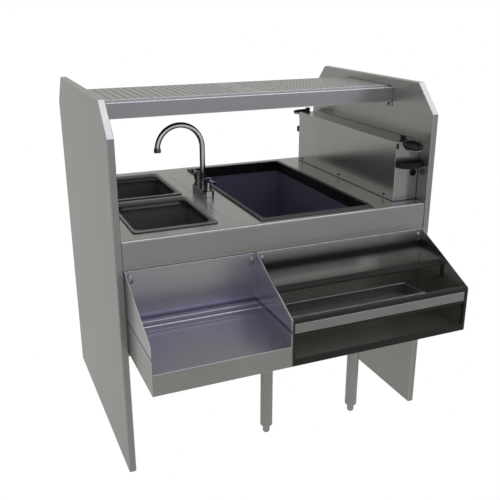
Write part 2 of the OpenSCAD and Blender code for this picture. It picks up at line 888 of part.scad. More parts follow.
module bin_frame() {
    front = bin_y - bin_d / 2;
    inner = front + frame_front;
    top = deck_h + frame_h;
    color(black) placed() difference() {
        union() {
            translate([bin_x, bin_y, 0]) tub(bin_w, bin_d, frame_r, deck_h, top);
            at_bin() tub(open_w + 2 * breaker_t, open_d + 2 * breaker_t, liner_r - fit,
                deck_h - breaker_h, deck_h);
        }
        at_bin() tub(open_w, open_d, liner_r - breaker_t, deck_h - breaker_h - over, top + over);
        along_x(bin_x - bin_w, bin_x + bin_w)
            polygon([[front - over, top - slope_drop], [front, top - slope_drop],
            [inner - frame_r, top], [inner - frame_r, top + over], [front - over, top + over]]);
    }
}

module bin_drain_hole(d) {
    at_bin() translate([0, 0, shell_z - over]) cylinder(h = bin_floor - shell_z + 2 * over, d = d);
}

module bin_liner() {
    outer_r = liner_r + liner_t;
    color(navy) placed() difference() {
        at_bin() {
            tub(liner_w + 2 * liner_t, liner_d + 2 * liner_t, outer_r, bin_floor - liner_t, deck_under);
            tub(liner_w + 2 * liner_flange, liner_d + 2 * liner_flange, outer_r,
                deck_under - liner_t, deck_under);
        }
        at_bin() tub(liner_w, liner_d, liner_r, bin_floor, deck_h);
        bin_drain_hole(bin_pipe_d + 2 * fit);
    }
}

module bin_insulation() {
    outer_r = liner_r + liner_t;
    color(foam) placed() difference() {
        at_bin() tub(foam_w, foam_d, outer_r, shell_z + liner_t, deck_under - liner_t);
        at_bin() tub(liner_w + 2 * liner_t, liner_d + 2 * liner_t, outer_r, bin_floor - liner_t, deck_h);
        bin_drain_hole(bin_pipe_d + 2 * fit);
    }
}

module bin_shell() {
    outer_r = liner_r + liner_t;
    color(steel_dark) placed() difference() {
        at_bin() tub(shell_w, shell_d, outer_r + liner_t, shell_z, deck_under);
        at_bin() tub(foam_w, foam_d, outer_r, shell_z + liner_t, deck_h);
        bin_drain_hole(bin_pipe_d + 2 * fit);
    }
}

module bin_drain() {
    color(bright) placed() at_bin() difference() {
        union() {
            translate([0, 0, bin_floor]) cylinder(h = drain_flange_t, d = bin_flange_d);
            translate([0, 0, shell_z - bin_pipe_l])
                cylinder(h = bin_floor - shell_z + bin_pipe_l, d = bin_pipe_d);
        }
        translate([0, 0, shell_z - bin_pipe_l - over])
            cylinder(h = bin_floor - shell_z + bin_pipe_l + drain_flange_t + 2 * over, d = bin_pipe_bore);
        translate([0, 0, shell_z - bin_nut_h - 2 * relief_h]) relief(bin_pipe_d);
    }
}

module bin_drain_nut() {
    color(bright) placed() at_bin() translate([0, 0, shell_z - bin_nut_h]) difference() {
        cylinder(h = bin_nut_h, d = bin_nut_d, $fn = 6);
        translate([0, 0, -over]) cylinder(h = bin_nut_h + 2 * over, d = bin_pipe_d + 2 * fit);
    }
}

// Legs and feet

function leg_x(side) =
    side < 0 ? bin_x - shell_w / 2 + leg_inset_left : bin_x + shell_w / 2 - leg_inset_right;
function leg_y(end) = open_y + end * (shell_d / 2 - leg_inset);

module at_leg(side, end) { translate([leg_x(side), leg_y(end), 0]) children(); }

module leg_sockets() {
    plate_z = shell_z - socket_plate_t;
    color(steel_dark) placed() for (side = [-1, 1], end = [-1, 1]) at_leg(side, end) difference() {
        union() {
            mirror([0, end > 0 ? 1 : 0, 0]) block([-socket_plate_w / 2, -leg_inset, plate_z],
                [socket_plate_w / 2, socket_plate_reach - leg_inset, shell_z]);
            translate([0, 0, plate_z - socket_h])
                cylinder(h = socket_h, d = leg_d + 2 * (fit + socket_wall));
        }
        translate([0, 0, plate_z - socket_h - over]) cylinder(h = socket_h + over, d = leg_d + 2 * fit);
    }
}

module leg_tubes() {
    top = shell_z - socket_plate_t;
    color(steel) placed() for (side = [-1, 1], end = [-1, 1]) at_leg(side, end) difference() {
        translate([0, 0, foot_h]) cylinder(h = top - foot_h, d = leg_d);
        translate([0, 0, foot_h - over]) cylinder(h = top - foot_h + 2 * over, d = leg_d - 2 * leg_wall);
    }
}

module leg_plugs() {
    color(steel_dark) placed() for (side = [-1, 1], end = [-1, 1]) at_leg(side, end) difference() {
        translate([0, 0, foot_h]) cylinder(h = plug_h, d = leg_d - 2 * (leg_wall + fit));
        translate([0, 0, foot_h - over]) cylinder(h = plug_h + 2 * over, d = foot_stem_d + 2 * fit);
    }
}

module foot(side, end) {
    r = foot_d / 2;
    at_leg(side, end) rotate_extrude()
        polygon([[0, 0], [r - foot_nose, 0], [r - foot_nose / 3, foot_nose / 3],
        [r, foot_nose], [r, foot_h - 2 * foot_collar_h], [foot_collar_d / 2, foot_h - foot_collar_h],
        [foot_collar_d / 2, foot_h], [foot_stem_d / 2, foot_h], [foot_stem_d / 2, foot_h + foot_stem_l],
        [0, foot_h + foot_stem_l]]);
}

module foot_front_left() { color(bright) placed() foot(-1, -1); }

module foot_front_right() { color(bright) placed() foot(1, -1); }

module foot_back_left() { color(bright) placed() foot(-1, 1); }

module foot_back_right() { color(bright) placed() foot(1, 1); }

// Soda line chase

module grommet_places() {
    for (side = [0, 1]) mirror([0, side, 0])
        translate([inner_x - grommet_inset, chase_d / 2, deck_h + grommet_z]) children();
}

module chase_cover() {
    top = deck_h + chase_h;
    y = chase_d / 2;
    color(steel) placed() difference() {
        block([chase_x, -y, deck_h], [inner_x, y, top]);
        block([chase_x + sheet_t, -y + sheet_t, deck_h - over],
            [inner_x + over, y - sheet_t, top - sheet_t]);
        for (share = screw_shares)
            pipe_x(chase_x - over, chase_x + sheet_t + over, share * y, deck_h + screw_z,
            screw_d + 2 * fit);
        grommet_places() rotate([90, 0, 0])
            cylinder(h = 4 * sheet_t, d = grommet_neck_d + 2 * fit, center = true);
    }
}

module chase_bracket() {
    x = chase_x + sheet_t;
    y = chase_d / 2 - 2 * sheet_t;
    color(steel_dark) placed() difference() {
        union() {
            block([x, -y, deck_h], [x + sheet_t, y, deck_h + bracket_h]);
            block([x, -y, deck_h], [x + bracket_foot, y, deck_h + sheet_t]);
        }
        for (share = screw_shares)
            pipe_x(x - over, x + sheet_t + over, share * chase_d / 2, deck_h + screw_z,
            screw_d + 2 * fit);
    }
}

module chase_screws() {
    color(bright) placed() for (share = screw_shares) {
        pipe_x(chase_x, chase_x + 4 * sheet_t, share * chase_d / 2, deck_h + screw_z, screw_d);
        pipe_x(chase_x - screw_head_h, chase_x, share * chase_d / 2, deck_h + screw_z, screw_head_d);
    }
}

module hose_grommets() {
    color(black) placed() grommet_places() rotate([-90, 0, 0]) difference() {
        union() {
            cylinder(h = grommet_lip, d = grommet_d);
            translate([0, 0, -sheet_t]) cylinder(h = sheet_t, d = grommet_neck_d);
            translate([0, 0, -sheet_t - grommet_lip]) cylinder(h = grommet_lip, d = grommet_d);
        }
        translate([0, 0, -sheet_t - 2 * grommet_lip])
            cylinder(h = sheet_t + 4 * grommet_lip, d = grommet_bore);
    }
}

module corner_clips() {
    top = deck_h + chase_h - clip_drop;
    y = chase_d / 2;
    color(black) placed() for (side = [0, 1]) mirror([0, side, 0])
        block([chase_x, y, top - clip_h], [chase_x + clip_w, y + clip_t, top]);
}

// Gun holders: a tilted ring on an arm whose eye turns in the waist of a spool

module at_spool(side) {
    mirror([0, side > 0 ? 1 : 0, 0])
        translate([spool_x, -chase_d / 2 + spool_inset, deck_h + chase_h]) children();
}

module holder_spools() {
    r = spool_r;
    w = spool_waist_r;
    color(black) placed() for (side = [-1, 1]) at_spool(side) rotate_extrude()
        polygon([[0, 0], [r, 0], [r, spool_lip], [w, spool_neck], [w, spool_h - spool_neck],
            [r, spool_h - spool_lip], [r, spool_h], [0, spool_h]]);
}

module tilted_ring() { translate([0, -holder_reach, ring_z]) rotate([holder_tilt, 0, 0]) children(); }

module gun_holder(side) {
    low = spool_neck + fit;
    high = spool_h - spool_neck - fit;
    outer = holder_r;
    inner = holder_hole_r;
    near = holder_reach - holder_r;
    at_spool(side) difference() {
        union() {
            translate([0, 0, low]) cylinder(h = high - low, r = eye_r);
            tilted_ring() translate([0, 0, -ring_h / 2]) rotate_extrude() polygon([[inner, 0],
                [outer - ring_bevel, 0], [outer, ring_bevel], [outer, ring_h - ring_bevel],
                [outer - ring_bevel, ring_h], [inner + ring_bevel / 2, ring_h],
                [inner, ring_h - ring_bevel / 2]]);
            hull() {
                translate([-arm_w / 2, -eye_r, low]) cube([arm_w, eye_r / 3, arm_t]);
                tilted_ring() translate([-arm_w / 2, holder_r - arm_t, -arm_t / 2])
                    cube([arm_w, arm_t / 2, arm_t]);
            }
        }
        cylinder(h = spool_h, r = spool_waist_r + fit);
    }
}

module holder_trim(side) {
    at_spool(side) tilted_ring() translate([0, 0, -ring_h / 2 - chrome_h]) difference() {
        cylinder(h = chrome_h, r = holder_r - chrome_inset);
        translate([0, 0, -over]) cylinder(h = chrome_h + 2 * over, r = holder_hole_r);
    }
}

module gun_holder_front() { color(black) placed() gun_holder(-1); }

module gun_holder_back() { color(black) placed() gun_holder(1); }

module holder_trim_front() { color(bright) placed() holder_trim(-1); }

module holder_trim_back() { color(bright) placed() holder_trim(1); }

// Drip trays: a bowed front, hung on a hook by a pocket in the back wall

module bowed_plan(w, d, straight) {
    r = (w * w / 4 + (d - straight) * (d - straight)) / (2 * (d - straight));
    intersection() {
        translate([-w / 2, -d]) square([w, d]);
        translate([0, r - d]) circle(r = r);
    }
}

module at_drip(side) {
    mirror([0, side > 0 ? 1 : 0, 0])
        translate([inner_x - chase_w / 2, -chase_d / 2, deck_h + drip_z]) children();
}

module drip_tray(side) {
    w = chase_w - 2 * drip_gap;
    at_drip(side) difference() {
        linear_extrude(drip_h) bowed_plan(w, drip_d, drip_side);
        translate([0, -drip_back, drip_floor]) linear_extrude(drip_h)
            bowed_plan(w - 2 * drip_wall, drip_d - drip_back - drip_wall, drip_side - drip_back);
        block([-hook_w / 2 - fit, -hook_stand - hook_t - fit, -over],
            [hook_w / 2 + fit, over, hook_h + fit]);
    }
}

module drip_tray_front() { color(black) placed() drip_tray(-1); }

module drip_tray_back() { color(black) placed() drip_tray(1); }

module drip_hooks() {
    color(bright) placed() for (side = [-1, 1]) at_drip(side) {
        block([-hook_w / 2, -hook_stand, 0], [hook_w / 2, 0, hook_t]);
        block([-hook_w / 2, -hook_stand - hook_t, 0], [hook_w / 2, -hook_stand, hook_h]);
    }
}

// Hanging tray and speed rail share the sloping outline of their sides

function side_outline(corner) = concat(
    [[-half_d, tray_z], [-half_d, tray_top]],
    arc([tray_front + corner, tray_z + side_front_h - corner], corner, 90 + side_slope, 180, 4),
    [[tray_front, tray_z]]);

module side_plate(x, corner) { along_x(x, x + tray_t) polygon(side_outline(corner)); }

module tray() {
    step_z = tray_top - tray_step_drop;
    front_in = tray_front + tray_t;
    path = [[-half_d + tray_t, tray_top], [-half_d + tray_t, step_z - tray_t],
        [-half_d - tray_step_d, step_z - tray_t], [-half_d - tray_step_d, step_z - tray_step_h],
        [front_in, tray_z + tray_floor_drop]];
    color(steel) placed() difference() {
        union() {
            side_plate(tray_left, tray_t);
            side_plate(tray_right - tray_t, tray_t);
            along_x(tray_left, tray_right) {
                polygon(folded(path, tray_t));
                translate([tray_front, tray_z]) square([tray_t, tray_lip_h]);
                translate([tray_front, tray_z]) square([tray_fold, tray_t]);
                translate([-half_d, tray_z]) square([tray_t, tray_h - tray_step_drop]);
                translate([-half_d + tray_t, tray_z]) square([stand_off, tray_t]);
            }
        }
        keyholes(tray_left, tray_right);
    }
}

module rail_shell() {
    color(steel) placed() difference() {
        union() {
            side_plate(rail_left, rail_corner);
            side_plate(rail_right - tray_t, rail_corner);
            along_x(rail_left, rail_right) {
                translate([-half_d, tray_z]) square([tray_t, tray_h]);
                translate([-half_d + tray_t, tray_z]) square([stand_off, tray_t]);
                translate([tray_front + tray_t, tray_z]) square([tray_d, tray_t]);
            }
        }
        keyholes(rail_left, rail_right);
        block([seam_right - seam / 2, -half_d - over, tray_z + tray_t],
            [seam_right + seam / 2, -half_d + tray_t + over, tray_top + over]);
    }
}

module rail_frame() {
    left = rail_left + tray_t;
    right = rail_right - tray_t;
    back = tray_front + bar_flange;
    bar_top = tray_z + side_front_h;
    bar_z = bar_top - bar_h;
    path = concat([[back, bar_z + bar_lip], [back, bar_z], [tray_front, bar_z]],
        arc([tray_front + rail_corner, bar_top - rail_corner], rail_corner, 180, 90, 4), [[back, bar_top]]);
    color(black) placed() {
        along_x(left, right) {
            polygon(folded(path, tray_t));
            translate([tray_front, tray_z]) square([tray_t, rail_lip_h]);
        }
        for (x = [left, right - post_w]) along_x(x, x + post_w)
            translate([tray_front, tray_z + tray_t]) square([bar_flange - tray_t, side_front_h - bar_h]);
    }
}

module rail_strip() {
    high = tray_z + side_front_h - strip_drop;
    color(steel) placed() block([rail_left + strip_left, tray_front - strip_t, high - strip_h],
        [rail_right - strip_right, tray_front, high]);
}

module rail_upper_tier() {
    low = tray_z + tier_z;
    front = tray_front + tier_front;
    left = rail_left + tray_t;
    right = rail_right - tray_t;
    color(black) placed() {
        along_x(left, right) translate([front, low]) square([tier_bottom_d, tier_bar_t]);
        along_x(left, right) translate([front, low + tier_h - tier_bar_t]) square([tier_top_d, tier_bar_t]);
        for (x = [left, right - tier_post_w]) along_x(x, x + tier_post_w)
            translate([front + tier_bottom_d - tier_post_d, low]) square([tier_post_d, tier_h]);
    }
}

module rail_insert() {
    low = tray_z + tier_z - insert_drop;
    bar_top = tray_z + side_front_h;
    back = tray_front + tier_front - insert_gap_y;
    ledge = tray_z + tier_z + tier_bar_t;
    front = tray_front + bar_flange + insert_gap_y;
    left = rail_left + tray_t + fit;
    path = [[back + insert_lip, ledge], [back, ledge], [back, low], [front, low], [front, bar_top],
        [front - insert_lip, bar_top]];
    color(black) placed() {
        along_x(left, left + pan_w) {
            polygon(folded(path, tray_t));
            for (share = bead_shares)
                translate([front + share * (back - front), low]) square([bead_w, bead_h]);
        }
        for (x = [left, left + pan_w - tray_t]) along_x(x, x + tray_t)
            polygon([[front, low], [back, low], [back, ledge], [front, bar_top]]);
    }
}

end_panel_left();
end_panel_right();
deck();
deck_channels();
front_panels();
hanger_studs();
shelf_frame();
shelf_insert_left();
shelf_insert_right();
shelf_tabs();
shelf_bolts();
sink_bowl_front();
sink_bowl_back();
sink_drains();
drain_locknuts();
strainer_front();
strainer_back();
faucet_body();
valve_bonnets();
faucet_spout();
faucet_aerator();
lever_cold();
lever_hot();
index_cold();
index_hot();
faucet_shanks();
shank_nuts();
bin_frame();
bin_liner();
bin_insulation();
bin_shell();
bin_drain();
bin_drain_nut();
leg_sockets();
leg_tubes();
leg_plugs();
foot_front_left();
foot_front_right();
foot_back_left();
foot_back_right();
chase_cover();
chase_bracket();
chase_screws();
hose_grommets();
corner_clips();
holder_spools();
gun_holder_front();
gun_holder_back();
holder_trim_front();
holder_trim_back();
drip_tray_front();
drip_tray_back();
drip_hooks();
tray();
rail_shell();
rail_frame();
rail_strip();
rail_upper_tier();
rail_insert();
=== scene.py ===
import math

import bmesh
import bpy
from bpy.props import FloatProperty, FloatVectorProperty, IntProperty, PointerProperty
from mathutils import Matrix, Vector


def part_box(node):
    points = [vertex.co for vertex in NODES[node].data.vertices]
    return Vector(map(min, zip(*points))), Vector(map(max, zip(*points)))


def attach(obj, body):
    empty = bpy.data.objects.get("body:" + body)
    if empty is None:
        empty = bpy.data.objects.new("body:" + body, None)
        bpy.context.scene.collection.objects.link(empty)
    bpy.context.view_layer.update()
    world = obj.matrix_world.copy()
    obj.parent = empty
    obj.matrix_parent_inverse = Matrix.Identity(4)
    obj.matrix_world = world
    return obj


bl_info = {
    "name": "Bar station dresser",
    "version": (1, 0, 0),
    "blender": (4, 5, 0),
    "location": "3D View > Sidebar > Bar station",
    "description": "Gives the packed bar station its finishes, small fittings, light and camera",
    "category": "Object",
}

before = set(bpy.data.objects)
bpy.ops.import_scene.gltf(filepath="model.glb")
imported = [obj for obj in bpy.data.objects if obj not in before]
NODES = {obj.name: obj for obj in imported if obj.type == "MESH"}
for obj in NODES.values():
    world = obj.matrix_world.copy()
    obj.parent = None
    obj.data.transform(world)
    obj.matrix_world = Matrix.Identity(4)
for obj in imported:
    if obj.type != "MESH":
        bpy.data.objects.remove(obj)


def upright_span(name):
    """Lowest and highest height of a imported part."""
    height_shading = [corner[2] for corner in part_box(name)]
    return min(height_shading), max(height_shading)


STATION_H = upright_span("end_panel_left")[1]
# How far a box that marks a stretch of a surface reaches past that surface
LAP = 0.001


def length(name, default, description):
    return FloatProperty(name=name, description=description, default=default, unit="LENGTH")


def angle(name, degrees, description):
    return FloatProperty(
        name=name, description=description, default=math.radians(degrees), subtype="ANGLE"
    )


def colour(name, default, description):
    return FloatVectorProperty(
        name=name, description=description, subtype="COLOR", size=3, min=0, max=1, default=default
    )


# Finishes


class FinishSettings(bpy.types.PropertyGroup):
    steel: colour("Satin steel", (0.405, 0.397, 0.372), "Colour of the panels, deck and shelf")
    channel_steel: colour("Hidden steel", (0.2, 0.2, 0.205), "Colour of the steel under the deck")
    # Painted reflection and shade: the bluish tint that the tray takes deep inside its hollow.
    tray_shaded_steel: colour("Tray steel", (0.365, 0.36, 0.4), "Colour of the hanging tray's inside")
    rail_steel: colour("Rail steel", (0.42, 0.415, 0.41), "Colour of the speed rail's bent sheet")
    bowl_steel: colour("Bowl steel", (0.34, 0.34, 0.315), "Colour of the drawn sink bowls")
    # Painted reflection: the liner's dark navy stands for the dark inside of the bin reflected in
    # its steel.
    liner_shaded_steel: colour("Liner steel", (0.15, 0.15, 0.215), "Colour of the ice bin's liner")
    # Painted reflection: the chrome's cream stands for the warm floor reflected in it.
    chrome: colour("Chrome", (0.85, 0.85, 0.72), "Colour of the faucet and its levers")
    # Painted reflection: the dark blue taken by chrome that faces sideways.
    chrome_side_reflection: colour("Chrome sides", (0.035, 0.035, 0.07), "Colour of chrome facing sideways")
    zinc: colour("Fasteners", (0.42, 0.42, 0.43), "Colour of bolts, studs and screws")
    black_coat: colour("Black coat", (0.019, 0.0185, 0.0145), "Colour of the speed rail's frames")
    pan_steel: colour("Pan steel", (0.2, 0.2, 0.185), "Colour of the speed rail's lift-out pan")
    black_plastic: colour("Black plastic", (0.017, 0.017, 0.013), "Colour of the moulded parts")
    bin_black: colour("Bin frame", (0.005, 0.005, 0.005), "Colour of the frame round the ice bin")
    trim: colour("Holder trim", (0.3, 0.3, 0.3), "Colour of the rim under each gun holder's ring")
    foam: colour("Foam", (0.68, 0.6, 0.4), "Colour of the insulation")
    cold: colour("Cold index", (0.03, 0.07, 0.4), "Colour of the cold lever's button")
    hot: colour("Hot index", (0.42, 0.03, 0.02), "Colour of the hot lever's button")
    tray_back: length("Tray back", -0.2882, "Depth at which the tray's back wall stands")
    tray_step: length("Tray step", 0.507, "Height of the step at the tray's back")
    rail_seam: length("Rail seam", 0.355, "Place of the seam in the rail's back wall")
    # Painted highlight: over this radius the steel's edges are painted bright.
    highlight_radius: length("Worn edge", 0.0018, "Radius over which the steel's edges are rubbed bright")


def new_material(name):
    material = bpy.data.materials.new(name)
    material.use_nodes = True
    tree = material.node_tree
    return material, tree, tree.nodes["Principled BSDF"], tree.nodes.new("ShaderNodeTexCoord")


def noise(tree, place, scale, stretch=(1, 1, 1), detail=3.0, roughness=0.55):
    mapping = tree.nodes.new("ShaderNodeMapping")
    mapping.inputs["Scale"].default_value = stretch
    tree.links.new(place.outputs["Object"], mapping.inputs["Vector"])
    texture = tree.nodes.new("ShaderNodeTexNoise")
    texture.inputs["Scale"].default_value = scale
    texture.inputs["Detail"].default_value = detail
    texture.inputs["Roughness"].default_value = roughness
    tree.links.new(mapping.outputs["Vector"], texture.inputs["Vector"])
    return texture.outputs["Fac"]


def remap(tree, value, low, high):
    node = tree.nodes.new("ShaderNodeMapRange")
    node.inputs["From Min"].default_value = 0.3
    node.inputs["From Max"].default_value = 0.7
    node.inputs["To Min"].default_value = low
    node.inputs["To Max"].default_value = high
    tree.links.new(value, node.inputs["Value"])
    return node.outputs["Result"]


def blend_colours(tree, value, dark, light):
    ramp = tree.nodes.new("ShaderNodeValToRGB")
    ramp.color_ramp.elements[0].position = 0.3
    ramp.color_ramp.elements[0].color = (*dark, 1)
    ramp.color_ramp.elements[1].position = 0.7
    ramp.color_ramp.elements[1].color = (*light, 1)
    tree.links.new(value, ramp.inputs["Fac"])
    return ramp.outputs["Color"]


def graded(tree, place, axis, low, high, stops):
    """A colour that runs along one axis of a place, from a low to a high coordinate."""
    split = tree.nodes.new("ShaderNodeSeparateXYZ")
    tree.links.new(place, split.inputs[0])
    spot = tree.nodes.new("ShaderNodeMapRange")
    spot.inputs["From Min"].default_value = low
    spot.inputs["From Max"].default_value = high
    tree.links.new(split.outputs[axis], spot.inputs["Value"])
    ramp = tree.nodes.new("ShaderNodeValToRGB")
    elements = ramp.color_ramp.elements
    elements.remove(elements[-1])
    elements[0].position = stops[0][0]
    elements[0].color = (*stops[0][1], 1)
    for position, tone in stops[1:]:
        elements.new(position).color = (*tone, 1)
    tree.links.new(spot.outputs["Result"], ramp.inputs["Fac"])
    return ramp.outputs["Color"]


def bump(tree, shader, height, distance, strength, normal):
    node = tree.nodes.new("ShaderNodeBump")
    node.inputs["Strength"].default_value = strength
    node.inputs["Distance"].default_value = distance
    tree.links.new(normal, node.inputs["Normal"])
    tree.links.new(height, node.inputs["Height"])
    tree.links.new(node.outputs["Normal"], shader.inputs["Normal"])


def rounded(tree, radius):
    """The normal on edges rounded by a small radius, and how far it leans from the face."""
    node = tree.nodes.new("ShaderNodeBevel")
    node.samples = 6
    node.inputs["Radius"].default_value = radius
    face = tree.nodes.new("ShaderNodeNewGeometry")
    dot = tree.nodes.new("ShaderNodeVectorMath")
    dot.operation = "DOT_PRODUCT"
    tree.links.new(node.outputs["Normal"], dot.inputs[0])
    tree.links.new(face.outputs["Normal"], dot.inputs[1])
    return node.outputs["Normal"], ranged(tree, dot.outputs["Value"], 0.995, 0.9, 0, 1)


def joints(tree, reach, low=0.5, high=0.95):
    """Zero deep in a joint or a folded corner, one in the open: the share of ambient light, for
    painted shade.
    """
    node = tree.nodes.new("ShaderNodeAmbientOcclusion")
    node.samples = 6
    node.inputs["Distance"].default_value = reach
    return ranged(tree, node.outputs["AO"], low, high, 0, 1)


def ranged(tree, value, start, end, low, high):
    node = tree.nodes.new("ShaderNodeMapRange")
    for name, number in (("From Min", start), ("From Max", end), ("To Min", low), ("To Max", high)):
        node.inputs[name].default_value = number
    tree.links.new(value, node.inputs["Value"])
    return node.outputs["Result"]


def times(tree, first, second):
    node = tree.nodes.new("ShaderNodeMath")
    node.operation = "MULTIPLY"
    tree.links.new(first, node.inputs[0])
    tree.links.new(second, node.inputs[1])
    return node.outputs[0]


def mixed(tree, factor, first, second):
    """Two colours mixed by a factor; a colour is a socket or three numbers."""
    node = tree.nodes.new("ShaderNodeMix")
    node.data_type = "RGBA"
    tree.links.new(factor, node.inputs["Factor"])
    for name, tone in (("A", first), ("B", second)):
        spot = [i for i in node.inputs if i.name == name and i.type == "RGBA"][0]
        if isinstance(tone, tuple):
            spot.default_value = (*tone, 1)
        else:
            tree.links.new(tone, spot)
    return [o for o in node.outputs if o.type == "RGBA"][0]


def tinted(tree, first, second):
    """Two colours multiplied."""
    node = tree.nodes.new("ShaderNodeMix")
    node.data_type = "RGBA"
    node.blend_type = "MULTIPLY"
    node.inputs["Factor"].default_value = 1
    for name, tone in (("A", first), ("B", second)):
        tree.links.new(tone, [i for i in node.inputs if i.name == name and i.type == "RGBA"][0])
    return [o for o in node.outputs if o.type == "RGBA"][0]


def shade(value, factor):
    return tuple(min(1.0, c * factor) for c in value)


def within(tree, place, low, high):
    """One inside a box given by two corners, zero outside it; an axis with None isn't bounded."""
    split = tree.nodes.new("ShaderNodeSeparateXYZ")
    tree.links.new(place.outputs["Object"], split.inputs[0])
    mask = None
    for axis, start, end in zip("XYZ", low, high):
        if start is None:
            continue
        node = tree.nodes.new("ShaderNodeMath")
        node.operation = "COMPARE"
        node.inputs[1].default_value = (start + end) / 2
        node.inputs[2].default_value = (end - start) / 2
        tree.links.new(split.outputs[axis], node.inputs[0])
        mask = times(tree, mask, node.outputs[0]) if mask else node.outputs[0]
    return mask


def facing(tree, direction):
    """One where the surface faces along a direction or against it, zero where it faces sideways."""
    face = tree.nodes.new("ShaderNodeNewGeometry")
    dot = tree.nodes.new("ShaderNodeVectorMath")
    dot.operation = "DOT_PRODUCT"
    dot.inputs[1].default_value = Vector(direction).normalized()
    tree.links.new(face.outputs["Normal"], dot.inputs[0])
    size = tree.nodes.new("ShaderNodeMath")
    size.operation = "ABSOLUTE"
    tree.links.new(dot.outputs["Value"], size.inputs[0])
    return size.outputs[0]


def metal(name, base, rough, along="X", spread=0.015, streak=0.008, smudge=0.03, metallic=0.85,
          edge=None, glint=2.4, corner_shade=0.45, sheltered=None, inside=None, height_shading=None, marks=(),
          side_reflection=None, shaded_bores=None):
    """Brushed metal: fine streaks along one axis, soft smudges, painted edge highlights and painted
    shade in joints.

    Where a hollow shelters it, over the length sheltered, it takes the colour inside, a painted
    tint for the reflection and shade in the hollow. The stops in heights grade it from the floor up
    to the top of the station, as painted bands of reflection, highlight and shade. Each of the
    marks is a box on the surface and its tone. A polished piece takes the colour turned where it
    looks to the side, a painted reflection. The walls of the holes inside the box bored are painted
    dark, as shade.
    """
    edge = edge or bpy.context.scene.bar_finish.highlight_radius
    material, tree, shader, place = new_material(name)
    stretch = {"X": (0.02, 1, 1), "Y": (1, 0.02, 1), "Z": (1, 1, 0.02)}[along]
    shader.inputs["Metallic"].default_value = metallic
    streaks = noise(tree, place, 1600, stretch, 2.0, 0.6)
    clouds = noise(tree, place, 5, (1, 1, 1), 3.0, 0.6)
    normal, lean = rounded(tree, edge)
    clear = joints(tree, 0.004)
    body = blend_colours(tree, clouds, shade(base, 1 - smudge), shade(base, 1 + smudge))
    # Painted highlight: where the rounded normal leans from the face, the edge takes the base
    # colour brightened by glint.
    edge_highlight = mixed(tree, times(tree, lean, clear), body, shade(base, glint))
    # Painted shade: in joints and folded corners, where ambient light is blocked, the colour is
    # darkened by the factor given.
    surface = mixed(tree, clear, shade(base, corner_shade), edge_highlight)
    if sheltered:
        # Painted reflection and shade: deep in a hollow the surface takes the tint given.
        surface = mixed(tree, joints(tree, sheltered, 0.7, 0.97), inside, surface)
    if height_shading:
        # Painted reflection, highlight and shade in bands by height.
        grade = graded(tree, place.outputs["Object"], "Z", 0, STATION_H, height_shading)
        surface = tinted(tree, surface, grade)
    surface = marked(tree, place, surface, base, marks)
    if shaded_bores:
        # Painted shade: the walls of the holes are darkened to 0.08 of the base.
        upright = ranged(tree, facing(tree, (0, 0, 1)), 0.3, 0.6, 1, 0)
        walls = times(tree, within(tree, place, *shaded_bores), upright)
        surface = mixed(tree, walls, surface, shade(base, 0.08))
    if side_reflection:
        # Painted reflection: a polished face that looks to the side takes the dark side colour, one
        # that looks ahead keeps its own.
        ahead = ranged(tree, facing(tree, (-0.15, -0.95, 0.25)), 0.45, 0.88, 0, 1)
        surface = mixed(tree, ahead, side_reflection, surface)
    tree.links.new(surface, shader.inputs["Base Color"])
    tree.links.new(remap(tree, streaks, rough - spread, rough + spread), shader.inputs["Roughness"])
    bump(tree, shader, streaks, 0.00001, streak, normal)
    return material


def plastic(name, base, rough, grain=1400, depth=0.00001, gloss=0.2, spread=0.06, marks=()):
    """Moulded or coated black: a fine grain, soft clouds and painted highlights on the edges.

    Each of the marks is a box on the surface and its tone.
    """
    material, tree, shader, place = new_material(name)
    shader.inputs["Specular IOR Level"].default_value = gloss
    cells = noise(tree, place, grain, (1, 1, 1), 2.0, 0.6)
    clouds = noise(tree, place, 14, (1, 1, 1), 3.0, 0.6)
    normal, lean = rounded(tree, 0.0008)
    body = blend_colours(tree, clouds, shade(base, 0.9), shade(base, 1.12))
    # Painted highlight: the edges take the base colour brightened 2.2 times.
    surface = marked(tree, place, mixed(tree, lean, body, shade(base, 2.2)), base, marks)
    tree.links.new(surface, shader.inputs["Base Color"])
    tree.links.new(remap(tree, clouds, rough - spread, rough + spread), shader.inputs["Roughness"])
    bump(tree, shader, cells, depth, 0.3, normal)
    return material


def marked(tree, place, surface, base, marks):
    """The surface with the base colour, made lighter or darker by its tone, inside each box."""
    for low, high, tone in marks:
        surface = mixed(tree, within(tree, place, low, high), surface, shade(base, tone))
    return surface


def across(low, high, tone):
    """A mark over the whole width, between two depths and two heights."""
    return (None, *low), (None, *high), tone


def at_ends(side, reach, tone):
    """Marks at the right and the left end of a part, which are as far from the middle."""
    return [((side - reach, None, None), (side + LAP, None, None), tone),
            ((-side - LAP, None, None), (reach - side, None, None), tone)]


def levels(base, *steps):
    """Stops for a grade by height: the rise over a base, and one tone or one for each colour."""
    return [((base + rise) / STATION_H, tone if isinstance(tone, tuple) else (tone,) * 3)
            for rise, tone in steps]


def rail_reflection_levels():
    """Painted reflection on the speed rail's back wall: a dark band high up, and its floor painted
    darker and warmer.
    """
    low, high = upright_span("rail_shell")
    height = high - low
    tones = ((0, 0.62, 0.82), (0.5, 0.6, 0.85), (0.6, 1.15, 0.95), (0.71, 1.15, 0.95),
             (0.77, 0.16, 1), (0.83, 0.16, 1), (0.9, 0.8, 1), (0.99, 1.1, 1))
    return levels(low, *((height * share, (tone, tone, tone * blue))
                         for share, tone, blue in tones))


def dress(material, *names):
    for name in names:
        mesh = NODES[name].data
        mesh.materials.clear()
        mesh.materials.append(material)


